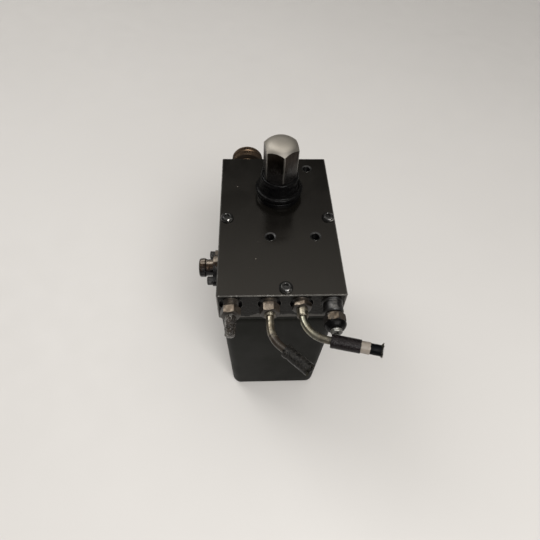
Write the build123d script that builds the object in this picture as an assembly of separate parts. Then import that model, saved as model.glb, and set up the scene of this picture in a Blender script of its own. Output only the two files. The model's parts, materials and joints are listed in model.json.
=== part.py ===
"""Hydraulic power block with a solenoid directional valve, a hand-drive spindle and an oil tank.

The origin is the centre of the tank's bottom face.  +Z points up to the drive spindle, -Y is the
front with the four ports, and +X is to the right.  All sizes are in millimetres.
"""
import math
import os

from build123d import *

# ---------------------------------------------------------------- driving dimensions
block_width, block_length, block_height = 100.0, 160.0, 32.0
block_chamfer = 0.8
tank_height = 157.0
tank_top_width, tank_top_length = 98.0, 157.0
tank_draft = 0.03            # taper of each wall, mm per mm of height
tank_wall = 3.0
tank_corner = 9.0
gasket_thickness = 1.0

under = tank_height + gasket_thickness      # underside of the block
top = under + block_height                  # top face of the block
front = -block_length / 2
back = block_length / 2
left = -block_width / 2

running_gap = 0.05           # radial clearance of turning and sliding fits
thread_gap = 0.03            # radial clearance drawn between the halves of a screw thread

cover_screw_places = [(-43.5, 0.0), (44.0, 0.0), (3.0, -73.0), (3.0, 73.0)]
cover_screw_radius, cover_head_radius, cover_head_height = 3.0, 5.5, 3.3
cover_screw_tip = 145.0

mount_centre = (12.0, 22.0)
mount_spacing_x, mount_spacing_y = 38.0, 86.0
mount_hole_radius, mount_hole_depth = 3.4, 20.0
mount_mouth_radius, mount_mouth_depth = 4.7, 0.45

spindle_x, spindle_y = 2.4, 30.7
spindle_radius = 10.0
spindle_end_radius = 8.0
neck_radius = 14.3
hex_across_flats = 27.0
hex_turn = 7.0               # degrees from a corner pointing at the front
gland_radius, gland_step_radius = 20.0, 17.0
boot_lip_radius, boot_top_radius = 21.0, 16.6
bush_radius, seal_pocket_radius = 13.0, 15.0

crank_throw = 8.0
crank_disc_radius = 13.5
crank_pin_radius = 4.0
roller_radius = 6.0
pump_x = spindle_x + crank_throw
pump_z = 142.5
plunger_radius = 6.0
pump_front, pump_back = -30.0, 12.0
pump_half_width = 14.0
pump_bottom = 130.0
pump_screw_y, pump_screw_offset = -10.0, 9.8
check_y = -21.0
check_ball_radius, check_seat_radius, check_pocket_radius = 2.75, 1.8, 4.5

valve_x, valve_y = -22.0, -42.0
cartridge_radius = 8.0
cartridge_seal_heights = [161.0, 167.2, 174.6]
spool_radius = 4.0
armature_radius = 5.5
core_tube_radius = 7.0
coil_radius = 20.0
coil_bottom, coil_top = 104.0, 148.0

relief_x, relief_y = 32.0, 34.0

port_z = top - 11.0
port_places = [-39.3, -9.5, 15.5, 39.5]
port_face_radius, port_face_depth = 9.2, 3.0
port_thread_radius, port_thread_end = 6.0, -64.0
nut_across_flats = 14.0
nut_near_ends = [-84.0, -81.6, -81.0]
nut_far_ends = [-91.2, -89.8, -85.6]
nut_turns = [39.0, 39.0, -9.0]       # 30 is a flat on top, 0 a corner on top
sleeve_radius = 4.5
sleeve_2_end, sleeve_3_end = -91.8, -92.3
fitting_across_flats, fitting_turn = 15.0, 48.0

tube_radius, tube_bore = 3.0, 2.0
tube_root = -64.6                    # inner end of both tubes, inside the block
tube_2_bend, tube_2_end = (port_places[1], -109.6, port_z), (17.6, -136.6, port_z + 2.4)
tube_3_bend, tube_3_end = (port_places[2], -107.9, port_z), (70.5, -124.1, port_z + 5.0)
tube_2_bend_radius, tube_3_bend_radius = 24.0, 22.0
hose_2_radius, hose_2_start = 5.1, 14.6
sleeve_3_radius, liner_3_radius, core_3_radius = 5.4, 4.5, 4.2

filler_x, filler_z = -26.0, 173.0
filler_cap_radius = 15.5
filler_cap_near, filler_cap_far = 89.3, 101.7
filler_neck_radius = 12.0

connector_y, connector_z = -40.8, 174.0
connector_screw_shifts = [(-15.6, 3.2), (17.6, -5.8)]
connector_tip, connector_ring_back = -65.9, -60.4
connector_ring_radius, connector_barrel_radius = 7.8, 5.9
flange_thickness = 4.0
pin_offset = 1.6
lead_drop_x = -40.0


# ---------------------------------------------------------------- shape helpers
def along(start, end):
    """Plane at start whose normal points at end."""
    return Plane(origin=start, z_dir=Vector(*end) - Vector(*start))


def rod(start, end, radius):
    """Round bar from start to end."""
    length = (Vector(*end) - Vector(*start)).length
    upright = Cylinder(radius, length, align=(Align.CENTER, Align.CENTER, Align.MIN))
    return along(start, end).location * upright


def ring(start, end, outer, inner):
    """Round bar with a straight bore."""
    return rod(start, end, outer) - rod(start, end, inner)


def hex_bar(start, end, across_flats, turn=0.0):
    """Six-sided bar; turn rotates it about its own axis."""
    plane = along(start, end)
    length = (Vector(*end) - Vector(*start)).length
    sketch = RegularPolygon(across_flats / 2, 6, major_radius=False, rotation=turn)
    return plane.location * extrude(sketch, amount=length)


def turned(outline, start, end):
    """Turned shape: outline is (radius, distance from start) corners, closed on itself."""
    face = Plane.XZ * make_face(Polyline([*outline, outline[0]]))
    return along(start, end).location * revolve(face, Axis.Z)


def upright_turned(outline, x, y):
    """Turned shape on a vertical axis: outline is (radius, height) corners."""
    return turned(outline, (x, y, 0.0), (x, y, 1.0))


def front_turned(outline, x, z):
    """Turned shape on an axis along Y: outline is (radius, y) corners."""
    return turned(outline, (x, 0.0, z), (x, 1.0, z))


def side_turned(outline, y, z):
    """Turned shape on an axis along X: outline is (radius, x) corners."""
    return turned(outline, (0.0, y, z), (1.0, y, z))


def coil_spring(x, y, bottom, height, coil_radius_mm, wire_radius, turns):
    """Round-wire compression spring standing at x, y."""
    rise = height - 2 * wire_radius
    path = Helix(pitch=rise / turns, height=rise, radius=coil_radius_mm)
    section = Plane(origin=path @ 0, z_dir=path % 0) * Circle(wire_radius)
    return Pos(x, y, bottom + wire_radius) * sweep(section, path)


def bent_tube(points, bend_radii, outer, inner=0.0):
    """Tube swept along straight runs joined by tangent arcs."""
    path = FilletPolyline(*points, radius=bend_radii)
    plane = Plane(origin=path @ 0, z_dir=path % 0)
    solid = sweep(plane * Circle(outer), path)
    return solid - sweep(plane * Circle(inner), path) if inner else solid


def tank_outline(z, inset):
    """Rounded rectangle of the tank's outside at height z, drawn in by inset."""
    narrowing = 2 * (tank_draft * (tank_height - z) + inset)
    sketch = RectangleRounded(
        tank_top_width - narrowing, tank_top_length - narrowing, tank_corner - inset
    )
    return Plane.XY.offset(z) * sketch


# ---------------------------------------------------------------- housing
def make_tank_shell():
    outside = loft([tank_outline(0.0, 0.0), tank_outline(tank_height, 0.0)])
    outside = fillet(outside.faces().sort_by(Axis.Z)[0].edges(), 6.0)
    inside = loft([tank_outline(tank_wall, tank_wall), tank_outline(tank_height, tank_wall)])
    return outside, inside


def make_tank():
    outside, inside = make_tank_shell()
    shell = outside - inside
    for x, y in cover_screw_places:
        shell += rod((x, y, 118.0), (x, y, tank_height), 7.0) & outside
    for x, y in cover_screw_places:
        shell -= rod((x, y, 143.0), (x, y, tank_height + 1), 4.5)
    return shell


def make_tank_inserts():
    return [ring((x, y, 143.2), (x, y, tank_height), 4.5, cover_screw_radius + thread_gap)
            for x, y in cover_screw_places]


def make_block_gasket():
    outer = tank_outline(tank_height, 0.2)
    seal = extrude(outer, amount=gasket_thickness)
    seal -= extrude(tank_outline(tank_height, tank_wall + 0.2), amount=gasket_thickness)
    blank = extrude(outer, amount=gasket_thickness)
    for x, y in cover_screw_places:
        seal += rod((x, y, tank_height), (x, y, under), 6.8) & blank
    for x, y in cover_screw_places:
        seal -= rod((x, y, tank_height - 1), (x, y, under + 1), 3.4)
    return seal


def make_cover_screws():
    screws = []
    tip, crown = cover_screw_tip, top + cover_head_height
    for x, y in cover_screw_places:
        shank = [(0, tip), (2.4, tip), (cover_screw_radius, tip + 0.8), (cover_screw_radius, top),
                 (cover_head_radius, top), (cover_head_radius, top + 0.9), (4.6, top + 2.4),
                 (3.2, crown), (0, crown)]
        screw = upright_turned(shank, x, y)
        screws.append(screw - hex_bar((x, y, top + 1.2), (x, y, top + 4), 4.0))
    return screws


def mount_hole_places():
    cx, cy = mount_centre
    return [(cx + sx * mount_spacing_x / 2, cy + sy * mount_spacing_y / 2)
            for sx in (-1, 1) for sy in (-1, 1)]


def spindle_cuts():
    step = 180.0
    outline = [(bush_radius, under - 1), (bush_radius, step), (seal_pocket_radius, step),
               (seal_pocket_radius, top + 1), (0, top + 1), (0, under - 1)]
    return upright_turned(outline, spindle_x, spindle_y)


def port_cuts():
    """Spot faces, threads and the drillings that lead from the four ports."""
    inner_ends = [(-29.0, -47.0, 172.0), (-17.0, -48.0, 170.0),
                  (pump_x, check_y, 166.0), (36.0, -50.0, under - 1)]
    cuts = []
    for x, inner_end in zip(port_places, inner_ends):
        face = front + port_face_depth
        cuts.append(rod((x, front - 1, port_z), (x, face, port_z), port_face_radius))
        cuts.append(rod((x, front, port_z), (x, port_thread_end, port_z), port_thread_radius))
        cuts.append(rod((x, port_thread_end - 1, port_z), inner_end, 2.4))
    return cuts


def make_valve_block():
    block = Pos(0, 0, under + block_height / 2) * Box(block_width, block_length, block_height)
    block = chamfer(block.edges(), block_chamfer)
    cuts = [rod((x, y, under - 1), (x, y, top + 1), 3.3) for x, y in cover_screw_places]
    for x, y in mount_hole_places():
        mouth = [(0, top - mount_hole_depth), (mount_hole_radius, top - mount_hole_depth),
                 (mount_hole_radius, top - mount_mouth_depth), (mount_mouth_radius, top), (0, top)]
        cuts.append(upright_turned(mouth, x, y))
    cuts.append(spindle_cuts())
    cuts += port_cuts()
    cartridge_bore = cartridge_radius + thread_gap
    cuts.append(rod((valve_x, valve_y, under - 1), (valve_x, valve_y, 182.0), cartridge_bore))
    cuts.append(rod((relief_x, relief_y, under - 1), (relief_x, relief_y, 174.0), 7.0 + thread_gap))
    cuts.append(rod((relief_x, relief_y, 171.0), (pump_x, check_y, 166.0), 2.0))
    cuts.append(rod((pump_x, check_y, under - 1), (pump_x, check_y, 170.0), check_pocket_radius))
    for x in pump_screw_xs():
        cuts.append(rod((x, pump_screw_y, under - 1), (x, pump_screw_y, 171.0), 2.5 + thread_gap))
    cuts.append(rod((filler_x, back + 1, filler_z), (filler_x, 62.0, filler_z), 9.0 + thread_gap))
    cuts.append(rod((filler_x, 68.0, under - 1), (filler_x, 68.0, filler_z), 6.0))
    y, z = connector_y, connector_z
    cuts.append(rod((left - 1, y, z), (lead_drop_x, y, z), 5.0))
    cuts.append(rod((lead_drop_x, y, under - 1), (lead_drop_x, y, z), 4.2))
    for y, z in connector_screw_places():
        cuts.append(rod((left - 1, y, z), (left + 11.0, y, z), 2.0 + thread_gap))
    return block - cuts


# ---------------------------------------------------------------- drive spindle
def make_drive_spindle():
    x, y = spindle_x, spindle_y
    shaft = [(0, 150.6), (spindle_end_radius, 150.6), (spindle_end_radius, 157.0),
             (spindle_radius, 157.0), (spindle_radius, 197.3), (neck_radius, 197.3),
             (neck_radius, 213.3), (0, 213.3)]
    envelope = [(0, 213.3), (neck_radius, 213.3), (16.0, 215.0), (16.0, 241.4),
                (11.0, 246.4), (9.0, 246.9), (0, 247.1)]
    hexagon = hex_bar((x, y, 213.3), (x, y, 248.0), hex_across_flats, 30.0 + hex_turn)
    head = hexagon & upright_turned(envelope, x, y)
    spindle = upright_turned(shaft, x, y) + head
    return spindle - rod((x - 20, y, 153.6), (x + 20, y, 153.6), 2.0)


def make_dust_boot():
    outline = [(17.6, 196.8), (boot_lip_radius, 196.8), (boot_lip_radius + 0.2, 198.2),
               (20.2, 199.8), (18.7, 200.3), (17.6, 205.0), (boot_top_radius, 210.6),
               (15.8, 212.6), (neck_radius + 0.05, 213.3), (neck_radius + 0.05, 198.0), (17.6, 198.0)]
    return upright_turned(outline, spindle_x, spindle_y)


def make_gland_flange():
    outline = [(10.5, 187.0), (seal_pocket_radius - 0.02, 187.0), (seal_pocket_radius - 0.02, top),
               (gland_radius, top), (gland_radius, 193.6), (19.4, 194.3),
               (gland_step_radius, 194.3), (gland_step_radius, 196.6), (16.5, 197.2), (10.5, 197.2)]
    return upright_turned(outline, spindle_x, spindle_y)


def make_shaft_seal():
    outline = [(10.05, 184.5), (11.2, 183.6), (12.0, 181.5), (12.0, 180.0), (14.98, 180.0),
               (14.98, 187.0), (12.5, 187.0), (11.5, 186.0), (10.05, 185.2)]
    return upright_turned(outline, spindle_x, spindle_y)


def make_spindle_bushes():
    inner = spindle_radius + running_gap
    return [ring((spindle_x, spindle_y, z0), (spindle_x, spindle_y, z1), bush_radius, inner)
            for z0, z1 in ((under, 167.0), (171.0, 180.0))]


def make_eccentric_crank():
    x, y = spindle_x, spindle_y
    disc = rod((x, y, 149.0), (x, y, 156.8), crank_disc_radius)
    disc -= rod((x, y, 150.5), (x, y, 157.0), spindle_end_radius + 0.01)
    disc -= rod((x - 20, y, 153.6), (x + 20, y, 153.6), 2.0)
    return disc + rod((pump_x, y, 138.5), (pump_x, y, 149.0), crank_pin_radius)


def make_crank_dowel():
    return rod((spindle_x - 13, spindle_y, 153.6), (spindle_x + 13, spindle_y, 153.6), 2.0)


def make_crank_roller():
    return ring((pump_x, spindle_y, 139.0), (pump_x, spindle_y, 148.7), roller_radius, 4.05)


# ---------------------------------------------------------------- hand pump
def pump_screw_xs():
    return pump_x - pump_screw_offset, pump_x + pump_screw_offset


def make_pump_barrel():
    length = pump_back - pump_front
    height = under - pump_bottom
    middle = Pos(pump_x, (pump_front + pump_back) / 2, (pump_bottom + under) / 2)
    barrel = chamfer((middle * Box(2 * pump_half_width, length, height)).edges(), 0.8)
    bore = plunger_radius + running_gap
    cuts = [rod((pump_x, pump_front - 1, pump_z), (pump_x, pump_back + 1, pump_z), bore),
            rod((pump_x, check_y, pump_z), (pump_x, check_y, under + 1), check_seat_radius),
            rod((pump_x, check_y, pump_bottom - 1), (pump_x, check_y, 137.0), check_pocket_radius),
            rod((pump_x, check_y, 136.0), (pump_x, check_y, pump_z), check_seat_radius)]
    for x in pump_screw_xs():
        cuts.append(rod((x, pump_screw_y, pump_bottom - 1), (x, pump_screw_y, under + 1), 2.7))
    return barrel - cuts


def make_pump_screws():
    screws = []
    y = pump_screw_y
    for x in pump_screw_xs():
        screw = rod((x, y, 125.0), (x, y, pump_bottom), 4.25)
        screw += rod((x, y, pump_bottom), (x, y, 170.0), 2.5)
        screws.append(screw - hex_bar((x, y, 124.0), (x, y, 127.6), 4.0))
    return screws


def make_pump_plunger():
    yoke = Pos(pump_x, spindle_y, pump_z) * Box(24.0, 20.0, 8.8)
    yoke = chamfer(yoke.edges().filter_by(Axis.Z), 1.5)
    slot_half = roller_radius + 0.15
    slot = Pos(pump_x - 0.6, spindle_y, pump_z) * Box(16.0, 2 * slot_half, 12.0)
    stem = rod((pump_x, -16.0, pump_z), (pump_x, 21.0, pump_z), plunger_radius)
    groove = ring((pump_x, -12.0, pump_z), (pump_x, -10.0, pump_z), 7.0, 4.8)
    return yoke - slot + stem - groove


def make_plunger_seal():
    return ring((pump_x, -11.95, pump_z), (pump_x, -10.05, pump_z), plunger_radius + 0.02, 4.82)


def make_pump_plug():
    plug = rod((pump_x, pump_front, pump_z), (pump_x, -24.5, pump_z), plunger_radius)
    return plug + hex_bar((pump_x, pump_front - 6.0, pump_z), (pump_x, pump_front, pump_z), 17.0, 30.0)


def make_suction_seat():
    thread = check_pocket_radius - thread_gap
    outline = [(check_seat_radius, 124.0), (3.0, 124.0), (3.0, 128.0), (6.5, 128.0),
               (6.5, pump_bottom), (thread, pump_bottom), (thread, 131.5), (check_seat_radius, 131.5)]
    return upright_turned(outline, pump_x, check_y)


def ball_height(seat_z):
    """Height of a check ball's centre when it rests on its seat's edge."""
    return seat_z + math.sqrt(check_ball_radius**2 - check_seat_radius**2) + 0.02


def make_suction_ball():
    return Pos(pump_x, check_y, ball_height(131.5)) * Sphere(check_ball_radius)


def make_delivery_ball():
    return Pos(pump_x, check_y, ball_height(under)) * Sphere(check_ball_radius)


def make_delivery_spring():
    bottom = ball_height(under) + 1.9
    return coil_spring(pump_x, check_y, bottom, 169.8 - bottom, 2.6, 0.35, 5)


def make_suction_pipe():
    points = [(pump_x, check_y, 127.5), (pump_x, check_y, 70.0), (pump_x, check_y + 14.0, 30.0)]
    return bent_tube(points, [30.0], 4.2, 3.05)


def make_suction_strainer():
    """Strainer cup on the lower end of the suction pipe, near the tank's floor."""
    direction = Vector(0, 14.0, -40.0).normalized()
    start = Vector(pump_x, check_y + 14.0, 30.0) - direction * 6.0
    end = start + direction * 22.0
    outline = [(4.25, 0.0), (9.0, 0.0), (9.0, 22.0), (0.0, 22.0), (0.0, 20.5), (7.6, 20.5),
               (7.6, 2.0), (4.25, 2.0)]
    return turned(outline, tuple(start), tuple(end))


# ---------------------------------------------------------------- relief valve
def make_relief_body():
    x, y = relief_x, relief_y
    outline = [(4.0, 132.0), (7.0, 132.0), (7.0, 150.0), (10.5, 150.0), (10.5, under), (7.0, under),
               (7.0, 172.0), (2.0, 172.0), (2.0, 169.0), (4.0, 166.5)]
    return upright_turned(outline, x, y)


def make_relief_poppet():
    outline = [(0, 160.5), (2.2, 160.5), (2.2, 163.0), (3.95, 163.0), (3.95, 166.3), (1.7, 169.1),
               (0, 170.4)]
    return upright_turned(outline, relief_x, relief_y)


def make_relief_spring():
    return coil_spring(relief_x, relief_y, 142.1, 20.8, 3.1, 0.45, 5)


def make_relief_adjuster():
    x, y = relief_x, relief_y
    screw = rod((x, y, 126.0), (x, y, 142.0), 4.0 - thread_gap)
    screw -= hex_bar((x, y, 125.0), (x, y, 129.0), 4.0)
    return screw


def make_relief_locknut():
    x, y = relief_x, relief_y
    return hex_bar((x, y, 127.4), (x, y, 132.0), 13.0) - rod((x, y, 127.0), (x, y, 133.0), 4.0)


# ---------------------------------------------------------------- solenoid valve
def make_cartridge_body():
    x, y = valve_x, valve_y
    body = rod((x, y, under), (x, y, 181.5), cartridge_radius)
    body += hex_bar((x, y, 149.0), (x, y, under), 24.0)
    body -= rod((x, y, 148.0), (x, y, 178.5), spool_radius + running_gap)
    body -= rod((x, y, 178.0), (x, y, 182.0), 1.5)
    for z in (165.0, 171.5):
        body -= rod((x - 9, y, z), (x + 9, y, z), 1.5)
        body -= rod((x, y - 9, z), (x, y + 9, z), 1.5)
    for z in cartridge_seal_heights:
        body -= ring((x, y, z), (x, y, z + 2.0), cartridge_radius + 1, cartridge_radius - 1.2)
    body -= ring((x, y, 148.9), (x, y, 151.0), core_tube_radius, spool_radius)
    return body


def make_cartridge_seals():
    return [ring((valve_x, valve_y, z + 0.05), (valve_x, valve_y, z + 1.95), cartridge_radius,
                 cartridge_radius - 1.18) for z in cartridge_seal_heights]


def make_valve_spool():
    outline = [(0, 144.0), (2.0, 144.0), (2.0, 156.0), (spool_radius, 156.0), (spool_radius, 162.0),
               (2.6, 162.0), (2.6, 166.6), (spool_radius, 166.6), (spool_radius, 169.8), (2.6, 169.8),
               (2.6, 173.4), (spool_radius, 173.4), (spool_radius, 178.3), (0, 178.3)]
    return upright_turned(outline, valve_x, valve_y)


def make_armature():
    x, y = valve_x, valve_y
    armature = rod((x, y, 114.0), (x, y, 144.0), armature_radius)
    return armature - rod((x + 3.6, y, 113.0), (x + 3.6, y, 145.0), 0.8)


def make_core_tube():
    outline = [(0, 99.0), (core_tube_radius, 99.0), (core_tube_radius, 151.0),
               (armature_radius + running_gap, 151.0), (armature_radius + running_gap, 103.5), (0, 103.5)]
    return upright_turned(outline, valve_x, valve_y)


def make_spool_spring():
    return coil_spring(valve_x, valve_y, 103.6, 10.3, 4.4, 0.45, 4)


def make_solenoid_coil():
    x, y = valve_x, valve_y
    coil = ring((x, y, coil_bottom), (x, y, coil_top), coil_radius, core_tube_radius + 0.1)
    return chamfer(coil.edges().filter_by(GeomType.CIRCLE).group_by(SortBy.RADIUS)[-1], 1.2)


def make_coil_nut():
    x, y = valve_x, valve_y
    return hex_bar((x, y, 96.5), (x, y, coil_bottom), 22.0) - rod((x, y, 98.9), (x, y, 105.0), 7.03)


def make_coil_leads():
    leads = []
    z = connector_z
    for offset in (-pin_offset, pin_offset):
        y = connector_y + offset
        points = [(left + 3.1, y, z), (lead_drop_x, y, z), (lead_drop_x, y, coil_top)]
        leads.append(bent_tube(points, [3.2], 0.8))
    return leads


# ---------------------------------------------------------------- filler
def make_filler_neck():
    outline = [(7.5, 70.0), (9.0, 70.0), (9.0, back), (filler_neck_radius, back),
               (filler_neck_radius, 87.4), (filler_neck_radius - 0.9, 88.3), (7.5, 88.3)]
    return front_turned(outline, filler_x, filler_z)


def make_filler_seal():
    return front_turned([(7.6, 88.35), (10.4, 88.35), (10.4, 89.25), (7.6, 89.25)], filler_x, filler_z)


def make_filler_cap():
    near, far = filler_cap_near, filler_cap_far
    rim = filler_cap_radius
    outline = [(0, 81.0), (6.6, 81.0), (7.42, 81.8), (7.42, near), (14.4, near), (rim, near + 1.1),
               (rim, near + 4.6), (14.7, near + 5.2), (14.7, near + 6.4), (rim, near + 7.0),
               (rim, far - 1.3), (14.2, far), (0, far)]
    return front_turned(outline, filler_x, filler_z)


# ---------------------------------------------------------------- electrical connector
def connector_screw_places():
    """Two flange screws, set on a slant across the connector."""
    return [(connector_y + dy, connector_z + dz) for dy, dz in connector_screw_shifts]


def make_connector_flange():
    """Slanted two-ear plate with a stepped barrel outside and a spigot in the block."""
    y, z = connector_y, connector_z
    face = left - flange_thickness
    plate = rod((face, y, z), (left, y, z), 10.6)
    for sy, sz in connector_screw_places():
        plate += rod((face, sy, sz), (left, sy, sz), 4.4)
        span = math.hypot(sy - y, sz - z)
        web = Pos(left - flange_thickness / 2, (y + sy) / 2, (z + sz) / 2)
        web *= Rot(math.degrees(math.atan2(sz - z, sy - y)), 0, 0)
        plate += web * Box(flange_thickness, span, 8.8)
    neck_end, barrel_end = -60.2, connector_tip + 2.0
    barrel = [(0, barrel_end), (connector_barrel_radius, barrel_end), (connector_barrel_radius, neck_end),
              (6.9, neck_end), (6.9, face), (0, face)]
    spigot = [(0, left), (4.9, left), (4.9, left + 3.0), (0, left + 3.0)]
    for outline in (barrel, spigot):
        plate += side_turned(outline, y, z)
    plate -= rod((left - 20.0, y, z), (left - 9.0, y, z), 4.9)
    plate -= rod((left - 9.5, y, z), (left + 4.0, y, z), 3.6)
    for sy, sz in connector_screw_places():
        plate -= rod((left - 5.0, sy, sz), (left + 1.0, sy, sz), 2.15)
    return plate


def make_connector_ring():
    """Turning ring that locks the plug, held round the barrel."""
    bore, outer, back_end = connector_barrel_radius + 0.05, connector_ring_radius, connector_ring_back
    lip = connector_tip + 1.3
    outline = [(bore, lip), (bore, back_end), (outer - 0.5, back_end), (outer, back_end - 0.6),
               (outer, lip), (outer - 0.9, connector_tip), (4.9, connector_tip), (4.9, lip)]
    return side_turned(outline, connector_y, connector_z)


def make_connector_insert():
    y, z = connector_y, connector_z
    insert = rod((left - 10.5, y, z), (left - 9.0, y, z), 4.88)
    insert += rod((left - 9.0, y, z), (left + 3.0, y, z), 3.58)
    for offset in (-pin_offset, pin_offset):
        insert -= rod((left - 12.0, y + offset, z), (left + 4.0, y + offset, z), 0.7)
    return insert


def make_connector_pins():
    pins = []
    for offset in (-pin_offset, pin_offset):
        y = connector_y + offset
        pins.append(rod((left - 13.5, y, connector_z), (left + 3.0, y, connector_z), 0.7))
    return pins


def make_connector_screws():
    screws = []
    face = left - flange_thickness
    for y, z in connector_screw_places():
        head = rod((face - 4.5, y, z), (face, y, z), 3.5)
        head -= hex_bar((face - 5.5, y, z), (face - 2.3, y, z), 3.0)
        screws.append(head + rod((face, y, z), (left + 10.0, y, z), 2.0))
    return screws


# ---------------------------------------------------------------- ports, tubes and hose ends
def make_union_nuts():
    """Hollow hex screws of ports 1 to 3; the third stands with a corner up."""
    nuts = []
    for x, near, far, turn in zip(port_places, nut_near_ends, nut_far_ends, nut_turns):
        head = hex_bar((x, near, port_z), (x, far, port_z), nut_across_flats, turn)
        rounding = [(0, near), (8.2, near), (8.2, far + 0.6), (7.2, far), (0, far)]
        nut = head & front_turned(rounding, x, port_z)
        nut += rod((x, -69.0, port_z), (x, near, port_z), port_thread_radius - thread_gap)
        nuts.append(nut - rod((x, -68.0, port_z), (x, far - 1, port_z), sleeve_radius + 0.05))
    return nuts


def make_tube_sleeves():
    """Sleeved cones that hold the tubes of ports 2 and 3 in their screws."""
    sleeves = []
    bore = tube_radius + 0.05
    for x, far in ((port_places[1], sleeve_2_end), (port_places[2], sleeve_3_end)):
        outline = [(bore, -65.0), (4.6, -65.0), (5.6, -66.5), (5.6, -68.9), (sleeve_radius, -68.9),
                   (sleeve_radius, far + 0.3), (sleeve_radius - 0.3, far), (bore, far)]
        sleeves.append(front_turned(outline, x, port_z))
    return sleeves


def on_run(bend, end, distance):
    """Point on the straight run from bend to end, at a distance from bend."""
    start = Vector(*bend)
    return tuple(start + (Vector(*end) - start).normalized() * distance)


def on_run_2(distance):
    return on_run(tube_2_bend, tube_2_end, distance)


def on_run_3(distance):
    return on_run(tube_3_bend, tube_3_end, distance)


def make_port_tube_2():
    points = [(port_places[1], tube_root, port_z), tube_2_bend, on_run_2(28.0)]
    return bent_tube(points, [tube_2_bend_radius], tube_radius, tube_bore)


def make_port_tube_3():
    points = [(port_places[2], tube_root, port_z), tube_3_bend, on_run_3(37.0)]
    return bent_tube(points, [tube_3_bend_radius], tube_radius, tube_bore)


def make_hose_stub_2():
    return ring(on_run_2(hose_2_start), tube_2_end, hose_2_radius, tube_radius + 0.05)


def make_hose_sleeve_3():
    return ring(on_run_3(19.4), on_run_3(41.2), sleeve_3_radius, liner_3_radius + 0.02)


def make_hose_liner_3():
    return ring(on_run_3(20.4), on_run_3(47.9), liner_3_radius, core_3_radius + 0.02)


def make_hose_core_3():
    return ring(on_run_3(21.2), tube_3_end, core_3_radius, tube_radius + 0.05)


def make_port_stub_1():
    """Plugged pipe end held in the screw of port 1."""
    shoulder, far = -91.4, -101.5
    outline = [(1.8, -65.0), (4.6, -65.0), (5.6, -66.5), (5.6, -68.9), (sleeve_radius, -68.9),
               (sleeve_radius, shoulder), (tube_radius, shoulder), (tube_radius, far), (1.8, far)]
    return front_turned(outline, port_places[0], port_z)


def make_dust_cap_1():
    """Thin closed plastic cap pushed on the pipe end, tapering outwards."""
    near, far = -91.8, -108.2
    bore = tube_radius + 0.1
    outline = [(bore, near), (4.6, near), (4.8, near - 1.0), (4.2, far + 1.6), (3.2, far + 0.4), (0, far),
               (0, far + 1.0), (2.4, far + 1.3), (bore, far + 2.4)]
    return front_turned(outline, port_places[0], port_z)


def make_fitting_4_adapter():
    """Screw-in body of port 4: thread, collar, round waist and the spigot its nut turns on."""
    thread = port_thread_radius - thread_gap
    outline = [(2.0, -66.0), (thread, -66.0), (thread, -77.0), (8.7, -77.0), (8.7, -80.5), (7.8, -81.3),
               (7.8, -89.4), (6.8, -90.4), (5.0, -90.4), (5.0, -96.0), (2.0, -96.0)]
    return front_turned(outline, port_places[3], port_z)


def make_fitting_4_nut():
    x = port_places[3]
    nut = hex_bar((x, -91.4, port_z), (x, -98.6, port_z), fitting_across_flats, fitting_turn)
    rounding = [(0, -91.4), (7.8, -91.4), (8.8, -92.1), (8.8, -98.2), (8.2, -98.6), (0, -98.6)]
    nut &= front_turned(rounding, x, port_z)
    nut -= rod((x, -90.0, port_z), (x, -96.05, port_z), 5.03)
    return nut - rod((x, -95.0, port_z), (x, -99.0, port_z), 3.75)


def make_fitting_4_cap():
    """Domed black seal on the nut of port 4."""
    outline = [(3.75, -98.6), (8.2, -98.6), (8.6, -99.2), (8.4, -100.6), (7.4, -102.4), (6.0, -103.8),
               (3.75, -103.8)]
    return front_turned(outline, port_places[3], port_z)


def make_fitting_4_tube():
    """Ringed pipe end standing out of the nut of port 4."""
    outline = [(2.0, -96.1), (3.7, -96.1), (3.7, -103.9), (4.6, -103.9), (4.6, -104.7), (4.1, -105.0),
               (4.1, -105.4), (4.5, -105.7), (4.5, -106.2), (4.1, -106.6), (2.0, -106.6)]
    return front_turned(outline, port_places[3], port_z)


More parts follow.
